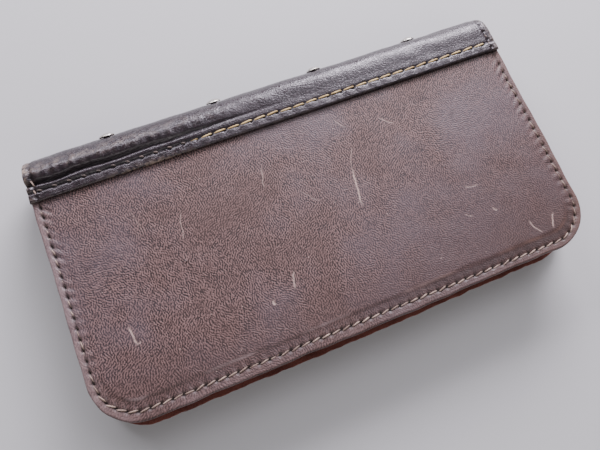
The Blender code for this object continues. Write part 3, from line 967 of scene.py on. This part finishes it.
spineLook = {
    "spacingX": 0.36 * mm,
    "spacingS": 0.30 * mm,
    "leather": 1.0 * mm,
    "creaseLeft": 1.35 * mm,
    "creaseRight": 0.03 * mm,
    "creaseWidth": 0.48 * mm,
    "bulge": 0.26 * mm,
    "channel": 0.22 * mm,
    "hole": 0.45 * mm,
    "slit": 0.45 * mm,
    "scallop": 0.07 * mm,
    "ridge": 0.34 * mm,
    "wrinkle": 0.09 * mm,
    "wander": 0.045 * mm,
    "endPinch": 0.32 * mm,
    "strip": 0.8 * mm,
    "deepestDip": 0.72 * mm,  # the strips have the covers under them
    "foldSpread": 2.7 * mm,  # how far each fold's bend reaches to both sides
}
stripWidth = creaseY - stripY
leadWidth = rollY - creaseY
arcLength = math.pi * rollRadius
pathLength = 2 * (stripWidth + leadWidth) + arcLength
rollWave = softNoise(31, 8, 7 * mm, 24 * mm)
wrinkleWave = softNoise(32, 9, 1.6 * mm, 3.4 * mm)
studBoxes = [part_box("spine_stud_" + number) for number in "1234"]
studXs = [(low.x + high.x) / 2 for low, high in studBoxes]
studAngle = 22.5  # degrees above the spine's middle


def spinePath(s):
    # place and outward normal in the YZ plane, s runs from the front strip's cut edge to the back's
    flat = stripWidth + leadWidth
    angle = np.clip((s - flat) / rollRadius, 0, math.pi)
    y = np.where(s < flat, stripY + s, np.where(s > flat + arcLength, rollY - (s - flat - arcLength), rollY))
    normalY, normalZ = np.sin(angle), np.cos(angle)
    y = y + rollRadius * normalY
    z = rollRadius + rollRadius * normalZ
    return y, z, normalY, normalZ


def angleRun(degrees):
    # run along the path at an angle above the spine's middle
    return stripWidth + leadWidth + math.radians(90 - degrees) * rollRadius


stripHoles = np.arange(-halfLength + 3.2 * mm, halfLength - 2.4 * mm, stripSeam["pitch"])
endHoles = np.arange(1.2 * mm, pathLength - 0.5 * mm, edgeSeam["pitch"])


def spineHeight(x, s):
    # height of the outer face over the plain roll, with its wear and its painted shade
    look = spineLook
    left = 1 - step(x, -66 * mm, 8 * mm)
    fromEdge = np.minimum(s, pathLength - s)  # both strips are alike
    front = s < pathLength / 2
    height = -0.16 * mm * np.exp(-fromEdge / (0.22 * mm))
    seamLine = stripSeam["inset"] + 0.05 * mm * rollWave(x, 0 * s)
    seamBell = bell(fromEdge, seamLine, 0.42 * mm)
    height = height - look["channel"] * (1 + 0.9 * left) * seamBell
    along = fromNearest(x, stripHoles)
    hole = np.exp(-(along**2 + (fromEdge - seamLine + 0.18 * mm) ** 2) / stripSeam["hole"] ** 2)
    height = height - look["hole"] * hole
    slit = bell(fromEdge, seamLine, 0.26 * mm) * (1 - np.exp(-(along / (0.75 * mm)) ** 2))
    height = height - look["slit"] * left * slit
    beat = np.cos(2 * math.pi * along / stripSeam["pitch"])
    height = height - look["scallop"] * beat * bell(fromEdge, stripSeam["inset"] - 1.0 * mm, 1.0 * mm)
    creaseRun = stripWidth + 0.35 * mm + 0.22 * mm * left * rollWave(x, 0 * s + 9)
    deepening = (look["creaseLeft"] - look["creaseRight"]) * left * front
    depth = look["creaseRight"] + deepening
    crease = bell(fromEdge, creaseRun, look["creaseWidth"] * (0.8 + 0.4 * left))
    height = height - depth * crease
    onRoll = step(fromEdge, stripWidth + 1.2 * mm, stripWidth + 4.0 * mm)
    bulge = look["bulge"] * (1 - 0.6 * left)
    height = height + bulge * bell(fromEdge, angleRun(62), 3.2 * mm) * front
    folds = bell(fromEdge, stripWidth + 2.6 * mm, 2.4 * mm)
    height = height + look["wrinkle"] * (0.20 + left) * folds * wrinkleWave(x, 0.35 * s)
    height = height + look["ridge"] * left * bell(fromEdge, stripWidth + 2.9 * mm, 1.3 * mm) * front
    height = height + look["wander"] * rollWave(x, s) * onRoll
    height = height + 0.035 * mm * smallWave(1.3 * x, 1.3 * s)
    ends = np.clip((np.abs(x) - (halfLength - 3.4 * mm)) / (3.4 * mm), 0, 1)
    height = height - look["endPinch"] * ends**2 * (0.35 + 0.65 * onRoll)
    fromEnd = halfLength - np.abs(x)
    endBell = bell(fromEnd, edgeSeam["inset"], 0.5 * mm)
    holeAway = fromNearest(s, endHoles) ** 2 + (fromEnd - edgeSeam["inset"]) ** 2
    endHole = np.exp(-holeAway / edgeHole**2)
    height = height - 0.20 * mm * endBell - 0.45 * mm * endHole
    dish = 0 * x * s
    for studX in studXs:
        away = np.sqrt((x - studX) ** 2 + (s - angleRun(studAngle)) ** 2)
        dish = dish + bell(away, 1.0 * mm, 1.5 * mm)
    height = height - 0.18 * mm * dish
    overCover = fromEdge < stripWidth - 0.4 * mm
    height = np.where(overCover, np.maximum(height, -look["deepestDip"]), height)
    # the underside stays off the table
    bottom = step(s, pathLength / 2 + 6 * mm, pathLength / 2 + 10 * mm)
    height = np.where(bottom > 0, np.minimum(height, (1 - bottom) * 0.2 * mm), height)
    fold = bell(s, angleRun(28), 0.28 * mm) * (1 - step(x, -52 * mm, -12 * mm))
    corner = np.exp(-fromEnd / (0.8 * mm)) * (0.40 + 2.0 * left * bell(s, angleRun(35), 5 * mm))
    cutEdge = (0.08 + 0.8 * bell(x, -38 * mm, 9 * mm)) * np.exp(-fromEdge / (0.40 * mm))
    # a lighter band above the crease at the left: partly rubbed wear, partly a painted highlight
    rubbed = 0.30 * bell(s, angleRun(72), 1.6 * mm) * left
    wear = cutEdge + corner + 0.5 * fold + rubbed * (0.5 + 0.5 * wrinkleWave(0.6 * x, s))
    # painted shade in the holes, slits and channel, and along the crease at the left
    shade = hole * (1 - 0.6 * left) + endHole + 0.35 * seamBell + left * slit
    shade = shade + left * front * bell(fromEdge, creaseRun, 0.34 * mm)
    return height, np.clip(wear, 0, 1), np.clip(shade, 0, 1)


def sheetColumns():
    # x places across the sheet and how deep each lies, with a rounded return at both ends
    reach = halfLength - 0.30 * mm
    inner = np.linspace(-reach, reach, int(2 * reach / spineLook["spacingX"]))
    edge = [(0.18, 0.06), (0.05, 0.22), (0.0, 0.5), (0.05, 0.8), (0.3, 1.0), (3.0, 1.02)]
    right = [(halfLength - gap * mm, depth) for gap, depth in edge]
    left = [(-x, depth) for x, depth in reversed(right)]
    columns = left + [(x, 0.0) for x in inner] + right
    return np.array(columns)


def sheetRows(first, last, spacing, edgeFirst=False, edgeLast=False):
    # runs along the path and how deep each lies, with a return at a cut edge
    rows = [(s, 0.0) for s in np.linspace(first, last, max(4, int((last - first) / spacing)))]
    edge = [(2.5, 1.0), (0.06, 1.0), (0.0, 0.75), (0.0, 0.4), (0.03, 0.15)]
    if edgeFirst:
        rows = [(gap * mm, depth) for gap, depth in edge] + [row for row in rows if row[0] > 0.1 * mm]
    if edgeLast:
        rows = [row for row in rows if row[0] < pathLength - 0.1 * mm]
        rows += [(pathLength - gap * mm, depth) for gap, depth in reversed(edge)]
    return np.array(rows)


def spineSurface(columns, rows):
    x, xDepth = columns[None, :, 0], columns[None, :, 1]
    s, sDepth = rows[:, None, 0], rows[:, None, 1]
    height, wear, shade = spineHeight(x, s)
    onStrip = (s < stripWidth) | (s > pathLength - stripWidth)
    thick = np.where(onStrip, spineLook["strip"], spineLook["leather"])
    height = height - thick * np.maximum(xDepth, sDepth)
    y, z, normalY, normalZ = spinePath(s + 0 * x)
    points = np.stack([x + 0 * s, y + height * normalY, z + height * normalZ], axis=-1)
    points[..., 2] = np.maximum(points[..., 2], 0.0)
    return points, wear, shade


def gridNormals(points):
    across = np.gradient(points, axis=1)
    down = np.gradient(points, axis=0)
    normals = np.cross(across, down)
    normals /= np.linalg.norm(normals, axis=-1, keepdims=True) + 1e-12
    return normals


def bendAcross(piece):
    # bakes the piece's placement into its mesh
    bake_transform(piece)


def makeSpineLeather():
    columns = sheetColumns()
    spacing = spineLook["spacingS"]
    cuts = [angleRun(angle) for angle in (67.5, 22.5, -22.5, -67.5)]
    parts = (
        ("Front", 0.0, cuts[0], ("front_cover", "spine_4"), ("front_spine_strip", "spine_leather_4")),
        ("Upper", cuts[0], cuts[1], ("spine_4", "spine_3"), ()),
        ("Middle", cuts[1], cuts[2], ("spine_3", "spine_2"), ("spine_leather_3",)),
        ("Lower", cuts[2], cuts[3], ("spine_2", "spine_1"), ("spine_leather_2",)),
        (
            "Back", cuts[3], pathLength,
            ("spine_1", "back_cover"), ("spine_leather_1", "back_spine_strip"),
        ),
    )
    turns = {"Upper": 45, "Middle": 0, "Lower": -45}
    for name, first, last, bodies, nodes in parts:
        rows = sheetRows(first, last, spacing, name == "Front", name == "Back")
        points, wear, shade = spineSurface(columns, rows)
        faces = gridFaces(len(rows), len(columns), False)
        paint = {"wear": wear, "seamShade": shade}
        piece = finishPiece("spineLeather" + name, points, faces, "dark", paint)
        smoothSeams(piece, columns, rows)
        if nodes:
            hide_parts(*nodes)
        if name in turns:
            bendAcross(piece)
        else:
            z = caseTop if name == "Front" else 0.0
            ends = [(0.0, creaseY - 1.4 * mm, z), (0.0, creaseY + 2.2 * mm, z)]
            if name == "Back":
                ends.reverse()
            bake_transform(piece)


def smoothSeams(piece, columns, rows):
    # normals worked out past the piece's edge, so that neighbours shade as one sheet
    spacing = rows[-1, 0] - rows[-2, 0]
    padded = rows
    before = rows[0, 0] > 1 * mm
    after = rows[-1, 0] < pathLength - 1 * mm
    if before:
        padded = np.vstack([[rows[0, 0] - spacing, 0.0], padded])
    if after:
        padded = np.vstack([padded, [rows[-1, 0] + spacing, 0.0]])
    points, _, _ = spineSurface(columns, padded)
    normals = gridNormals(points)
    start = 1 if before else 0
    normals = normals[start:start + len(rows)].reshape(-1, 3)
    own = np.zeros(len(piece.data.vertices) * 3)
    piece.data.vertices.foreach_get("normal", own)
    own = own.reshape(-1, 3)
    flip = np.sign(np.sum(own * normals, axis=1))
    piece.data.normals_split_custom_set_from_vertices((normals * flip[:, None]).tolist())


makeSpineLeather()


def spinePlaces(xs, ss):
    # points on the finished spine surface, a little above its channels
    height, _, _ = spineHeight(xs, ss)
    y, z, normalY, normalZ = spinePath(ss)
    height = np.maximum(height, -0.45 * mm)
    places = np.stack([xs, y + height * normalY, z + height * normalZ], axis=-1)
    return places, np.stack([0 * xs, normalY, normalZ], axis=-1)


def makeStripSeam(side, body, atFront):
    # worn in at the left: the thread lies down in its slits and only the knots stand up
    run = stripSeam["inset"] if atFront else pathLength - stripSeam["inset"]
    s = np.full(len(stripHoles), run)
    places, ups = spinePlaces(stripHoles + 0.6 * mm, s)
    left = 1 - step(stripHoles, -34 * mm, -16 * mm)
    # the lower strip lies on the table, so its seam is pressed in flush
    outward, face = (1, caseTop - 0.22 * mm) if atFront else (-1, 0.58 * mm)
    places[:, 2] = face + outward * (0.06 - 1.10 * left) * mm
    piece = stitchRow(
        side + "StripStitches", places[:-1], places[1:], ups[:-1], threadSizes["strip"],
        "goldThread", 23,
    )
    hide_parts(side + "_strip_thread")
    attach(piece, body)
    sunk = stripHoles[left > 0.5]
    starts, knotUps = spinePlaces(sunk - 0.62 * mm, np.full(len(sunk), run + 0.28 * mm))
    ends, _ = spinePlaces(sunk + 0.62 * mm, np.full(len(sunk), run - 0.28 * mm))
    starts[:, 2] = face + outward * 0.06 * mm
    ends[:, 2] = face + outward * 0.06 * mm
    knots = stitchRow(
        side + "StripKnots", starts, ends, knotUps, threadSizes["knot"],
        "soiledThread", 29,
    )
    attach(knots, body)


makeStripSeam("front", "front_cover", True)
makeStripSeam("back", "back_cover", False)


def makeEndStitches():
    # the edge seam goes on over both ends of the spine, a few stitches to each part
    # the stitch over the back crease is left out, it would cut into the cover as the case opens
    limits = (
        ("front_cover", 0.0, stripWidth),
        ("spine_4", stripWidth, angleRun(45)),
        ("spine_3", angleRun(45), angleRun(0)),
        ("spine_2", angleRun(0), angleRun(-45)),
        ("spine_1", angleRun(-45), pathLength - stripWidth - 1.5 * mm),
        ("back_cover", pathLength - stripWidth, pathLength),
    )
    middles = (endHoles[:-1] + endHoles[1:]) / 2
    for body, low, high in limits:
        chosen = np.nonzero((middles >= low) & (middles < high))[0]
        starts, ends, ups = [], [], []
        for endX in (-halfLength + edgeSeam["inset"], halfLength - edgeSeam["inset"]):
            for index in chosen:
                pair = np.array([endHoles[index], endHoles[index + 1]])
                places, normals = spinePlaces(np.full(2, endX), pair)
                starts.append(places[0])
                ends.append(places[1])
                ups.append(normals.mean(axis=0))
        piece = stitchRow(
            "endStitches_" + body, np.array(starts), np.array(ends), np.array(ups),
            threadSizes["edge"], "brownThread", 24,
        )
        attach(piece, body)


makeEndStitches()
print("spine leather is rolled and sewn")


# spine lining

spineLiningLook = {
    "spacing": 0.8 * mm, "rows": 96, "thickness": 0.5 * mm, "lap": 3.2 * mm, "wave": 0.05 * mm,
}
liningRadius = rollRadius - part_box("spine_leather_4")[1].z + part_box("spine_lining_4")[1].z


def liningPath(s, lap):
    # inside face: along the front lining, up round the board's edge, round the roll and back
    inner = liningRadius - spineLiningLook["thickness"]
    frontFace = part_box("front_suede_lining")[0].z - 0.05 * mm
    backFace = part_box("back_suede_lining")[1].z + 0.05 * mm
    top, bottom = rollRadius + inner, rollRadius - inner
    knots = [(creaseY - lap, frontFace), (creaseY - 1.0 * mm, frontFace)]
    for share in np.linspace(0, 1, 9):
        ease = share * share * (3 - 2 * share)
        knots.append((creaseY - 0.4 * mm + 1.8 * mm * share, frontFace + (top - frontFace) * ease))
    for angle in np.linspace(math.pi / 2, -math.pi / 2, 41):
        knots.append((rollY + inner * math.cos(angle), rollRadius + inner * math.sin(angle)))
    for share in np.linspace(0, 1, 9):
        ease = share * share * (3 - 2 * share)
        knots.append((creaseY + 1.4 * mm - 1.8 * mm * share, bottom + (backFace - bottom) * ease))
    knots += [(creaseY - 1.0 * mm, backFace), (creaseY - lap, backFace)]
    knots = np.array(knots)
    lengths = np.concatenate([[0], np.cumsum(np.linalg.norm(np.diff(knots, axis=0), axis=1))])
    places = s * lengths[-1]
    y, z = np.interp(places, lengths, knots[:, 0]), np.interp(places, lengths, knots[:, 1])
    return y, z


def makeSpineLining():
    look = spineLiningLook
    share = np.linspace(0, 1, look["rows"])
    y, z = liningPath(share, look["lap"])
    tangent = np.stack([np.gradient(y), np.gradient(z)], axis=1)
    tangent /= np.linalg.norm(tangent, axis=1)[:, None]
    outward = np.stack([-tangent[:, 1], tangent[:, 0]], axis=1)
    reach = halfLength - 0.25 * mm
    xs = np.linspace(-reach, reach, int(2 * reach / look["spacing"]))
    columns = [(-reach - 0.1 * mm, 1.0), (-reach - 0.12 * mm, 0.5)] + [(x, 0.0) for x in xs]
    columns += [(reach + 0.12 * mm, 0.5), (reach + 0.1 * mm, 1.0)]
    columns = np.array(columns)
    # which stretch of the sheet goes with which fold
    angle = np.degrees(np.arctan2(z - rollRadius, y - rollY))
    cuts = [0]
    for limit in (67.5, 22.5, -22.5, -67.5):
        cuts.append(int(np.nonzero((y > rollY) & (angle < limit))[0][0]))
    cuts.append(look["rows"] - 1)
    parts = (
        ("Front", ("front_cover", "spine_4"), ("spine_lining_4",), None),
        ("Upper", ("spine_4", "spine_3"), (), 45),
        ("Middle", ("spine_3", "spine_2"), ("spine_lining_3",), 0),
        ("Lower", ("spine_2", "spine_1"), ("spine_lining_2",), -45),
        ("Back", ("spine_1", "back_cover"), ("spine_lining_1",), None),
    )
    for (name, bodies, nodes, turn), first, last in zip(parts, cuts[:-1], cuts[1:]):
        rows = np.arange(first, last + 1)
        x, depth = columns[None, :, 0], columns[None, :, 1]
        wave = look["wave"] * smallWave(x, share[rows][:, None] * 45 * mm)
        lift = wave - depth * look["thickness"]
        points = np.stack([
            x + 0 * lift,
            y[rows][:, None] - lift * outward[rows, 0][:, None],
            z[rows][:, None] - lift * outward[rows, 1][:, None],
        ], axis=-1)
        faces = gridFaces(len(rows), len(columns), False)
        paint = {"seamShade": 0 * lift, "wear": 0 * lift}
        piece = finishPiece("spineLining" + name, points, faces, "suede", paint)
        if nodes:
            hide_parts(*nodes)
        if turn is not None:
            bendAcross(piece)
        else:
            level = caseTop if name == "Front" else 0.0
            ends = [(0.0, creaseY - 0.8 * mm, level), (0.0, creaseY + 1.6 * mm, level)]
            if name == "Back":
                ends.reverse()
            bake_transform(piece)


makeSpineLining()
print("spine lining is in")


# studs

studLook = {
    "radius": 2.15 * mm, "rim": 0.30 * mm, "dome": 0.80 * mm, "post": 0.9 * mm, "steps": 40,
    "washerBore": 1.0 * mm, "washerThickness": 0.5 * mm, "washerDepth": 2.4 * mm,
    "peen": 1.35 * mm, "length": 3.2 * mm, "dent": 0.012 * mm,
}
studLeans = (0, 3, -2, 1)  # degrees, none stands quite straight


def turnedPiece(name, profile, stand, steps, dents):
    angle = np.linspace(0, 2 * math.pi, steps, endpoint=False)
    rows = []
    for radius, height in profile:
        lift = height - dents * (1 + np.cos(3 * angle + 900 * height)) * radius / studLook["radius"]
        rows.append(np.stack([radius * np.cos(angle), radius * np.sin(angle), lift], axis=1))
    points = np.array(rows).reshape(-1, 3)
    turned = points @ np.array(stand.to_3x3()).T + np.array(stand.translation)
    faces = gridFaces(len(profile), steps, True)
    return finishPiece(name, turned, faces, "nickel", merge=0.004 * mm)


def makeStuds():
    look = studLook
    bulge = (look["radius"] ** 2 + look["dome"] ** 2) / (2 * look["dome"])
    half = math.asin(look["radius"] / bulge)
    cap = []
    for share in np.linspace(0.0, 1.0, 10):
        turn = half * share
        cap.append((bulge * math.sin(turn), look["rim"] + look["dome"] - bulge * (1 - math.cos(turn))))
    base = 0.02 * mm
    cap += [(look["radius"] * 1.02, look["rim"] * 0.6), (look["radius"] * 0.97, base), (look["post"], base)]
    end = -look["length"]
    cap += [(look["post"], end + 0.5 * mm), (look["peen"], end + 0.2 * mm)]
    cap += [(look["peen"] * 0.8, end + 0.05 * mm), (0.0, end)]
    top, bottom = -look["washerDepth"], -look["washerDepth"] - look["washerThickness"]
    bore, rim = look["washerBore"], look["radius"]
    washer = [
        (bore, top), (rim - 0.1 * mm, top), (rim, top - 0.12 * mm), (rim, bottom + 0.12 * mm),
        (rim - 0.1 * mm, bottom), (bore, bottom), (bore, top),
    ]
    angle = math.radians(studAngle)
    kinds = (
        ("spineStud", "spine_stud_", cap, look["dent"]), ("spineWasher", "stud_washer_", washer, 0.0),
    )
    for number, x, lean in zip("1234", studXs, studLeans):
        place = Vector((x, rollY + rollRadius * math.cos(angle), rollRadius * (1 + math.sin(angle))))
        turn = Matrix.Rotation(angle - math.pi / 2 + math.radians(lean), 4, "X")
        stand = Matrix.Translation(place) @ turn
        for name, node, profile, dents in kinds:
            piece = turnedPiece(name + number, profile, stand, look["steps"], dents)
            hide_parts(node + number)
            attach(piece, "spine_3")


makeStuds()
print("studs are set")


# device holder

holderLook = {
    "corner": 9 * mm, "wall": 2.0 * mm, "spacing": 0.5 * mm,
    "frame": 8 * mm,  # leather left round the window
    "windowCorner": 5 * mm,
    "seamEnds": 1.4 * mm,
}


def wallSection(width, low, high):
    # outline of the moulded wall: three glued layers with rounded, burnished edges
    height = high - low
    right = [(width - 0.30 * mm, low), (width, low + 0.3 * mm)]
    for share in (0.34, 0.67):
        right += [(width, low + height * share - 0.18 * mm), (width - 0.10 * mm, low + height * share)]
        right += [(width, low + height * share + 0.18 * mm)]
    right += [(width, high - 0.35 * mm), (width - 0.12 * mm, high - 0.1 * mm), (width - 0.4 * mm, high)]
    left = [(width - across, level) for across, level in reversed(right)]
    return right + left


def makeHolderWall():
    look = holderLook
    x0, y0, x1, y1 = boxRect("holder_wall")
    low, high = boxFaces("holder_wall")
    shape = RingShape((x0, y0, x1, y1), look["corner"], 0.2 * mm, look["spacing"])
    count = 2 * shape.counts["short"] + 2 * shape.counts["fore"] + shape.counts["long"]
    section = wallSection(look["wall"], low, high)
    rows = []
    for across, level in section:
        loop = shape.loop(look["wall"] - across)[:count + 1]
        wave = 0.05 * mm * edgeWave(loop[:, 0] * 2, loop[:, 1] * 2)
        rows.append(np.column_stack([
            loop[:, 0] + shape.normals[:count + 1, 0] * wave,
            loop[:, 1] + shape.normals[:count + 1, 1] * wave,
            np.full(count + 1, level),
        ]))
    rows.append(rows[0])
    points = np.array(rows).transpose(1, 0, 2)
    faces = gridFaces(points.shape[0], points.shape[1], False)
    ring = len(section) + 1
    faces.append(tuple(range(ring - 1)))
    faces.append(tuple(range((points.shape[0] - 1) * ring, points.shape[0] * ring - 1)))
    levels = points[..., 2]
    wear = 0.5 * (levels > high - 0.15 * mm) + 0.1
    paint = {"wear": wear, "seamShade": 0 * levels}
    piece = finishPiece(
        "holderWallLeather", points, faces, "pocketBrown", paint, merge=0.005 * mm,
    )
    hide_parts("holder_wall")
    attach(piece, "back_cover")


def makeHolderFace():
    look = holderLook
    x0, y0, x1, y1 = boxRect("holder_face")
    low, high = boxFaces("holder_face")
    border = look["frame"]
    outer = RingShape((x0, y0, x1, y1), look["corner"], 0.6 * mm, look["spacing"])
    window = (x0 + border, y0 + border, x1 - border, y1 - border)
    inner = RingShape(window, look["windowCorner"], look["windowCorner"], 1.0)
    inner.counts = outer.counts  # the same points on both, so that they join up
    outerLoop, innerLoop = outer.loop(0.0), inner.loop(0.0)
    rows, wears = [], []
    thickness = high - low
    profile = [(0.02, 0.0), (0.0, 0.35), (0.0, 0.65), (0.02, 0.97), (0.06, 1.0)]
    profile += [(share, 1.0) for share in np.linspace(0.1, 0.9, 17)]
    profile += [(0.94, 1.0), (0.98, 0.97), (1.0, 0.65), (1.0, 0.35), (0.98, 0.0), (0.5, 0.0)]
    for share, level in profile:
        loop = outerLoop * (1 - share) + innerLoop * share
        across = share * border
        seamDip = 0.14 * mm * bell(across, edgeSeam["inset"], 0.4 * mm)
        lineDip = 0.10 * mm * bell(across, border - 1.6 * mm, 0.3 * mm)
        dip = seamDip + lineDip if level == 1.0 else 0.0
        z = low + thickness * level - dip + 0.02 * mm * smallWave(loop[:, 0], loop[:, 1])
        rows.append(np.column_stack([loop, z]))
        near = min(across, border - across)
        wears.append(np.full(len(loop), 0.55 * math.exp(-near / (0.7 * mm))))
    rows.append(rows[0])
    wears.append(wears[0])
    points = np.array(rows)
    paint = {"wear": np.array(wears), "seamShade": 0 * np.array(wears)}
    faces = gridFaces(points.shape[0], points.shape[1], True)
    piece = finishPiece(
        "holderFaceLeather", points, faces, "pocketBrown", paint, merge=0.005 * mm,
    )
    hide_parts("holder_face")
    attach(piece, "back_cover")
    ends = look["seamEnds"]
    _, places = seamPlaces(outer, edgeSeam["inset"], edgeSeam["pitch"], ends, ends)
    seam = flatSeam(
        "holderStitches", places, high - 0.06 * mm, 1,
        threadSizes["inner"], "brownThread", 25,
    )
    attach(seam, "back_cover")


makeHolderWall()
makeHolderFace()
print("device holder is built")


# pockets

pocketLook = {
    "corner": 9 * mm, "notch": 6.5 * mm, "seam": 1.6 * mm, "seamEnds": 1.2 * mm, "mouthLine": 1.5 * mm,
}


def makePocket(name, node, notch, seed):
    look = pocketLook
    rect = boxRect(node)
    low, high = boxFaces(node)
    shape = RingShape(rect, look["corner"], 0.5 * mm, 0.5 * mm)
    ends = look["seamEnds"]
    _, places = seamPlaces(shape, look["seam"], edgeSeam["pitch"], ends, ends)
    mouth = rect[3]

    def shift(inset, run, normals, x, y):
        if not notch:
            return 0 * x, 0 * y
        dip = np.sqrt(np.clip(notch**2 - x**2, 0, None))
        share = np.clip(1 - (mouth - y) / (2.6 * notch), 0, 1)
        return 0 * x, -dip * share

    def relief(inset, run, normals, x, y):
        sewn = np.clip(1 - 3 * np.clip(normals[:, 1], 0, 1), 0, 1)
        seamBell = bell(inset, look["seam"], 0.4 * mm) * sewn
        line = bell(inset, look["mouthLine"], 0.3 * mm) * np.clip(normals[:, 1], 0, 1)
        lower = 0.10 * mm * seamBell + 0.09 * mm * line + 0.025 * mm * (1 + smallWave(x, y))
        rubbed = 0.6 * np.exp(-inset / (0.6 * mm)) + 0 * x
        # the third value is painted shade along the seam channel and the mouth's pressed line
        return lower, rubbed, 0.25 * seamBell + 0.35 * line, rubbed

    thickness = high - low
    section = [(shape.middle(), thickness, 0.0), (3 * mm, thickness, 0.0)]
    section += [(inset, depth, 0.2) for inset, depth in edgeRound(thickness, 0.2)]
    section += [(inset, 0.0, 1.0) for inset in faceInsets(3.4 * mm, 0.35 * mm, shape)]
    piece = ringPanel(name, shape, section, low, 1, relief, "pocketBrown", shift)
    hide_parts(node)
    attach(piece, "front_cover")
    seam = flatSeam(
        name + "Stitches", places, low + 0.07 * mm, -1,
        threadSizes["inner"], "brownThread", seed,
    )
    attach(seam, "front_cover")


makePocket("slipPocket", "slip_pocket", 0.0, 26)
makePocket("upperCardPocket", "card_pocket_upper", pocketLook["notch"], 27)
makePocket("lowerCardPocket", "card_pocket_lower", pocketLook["notch"], 28)
print("pockets are sewn in")
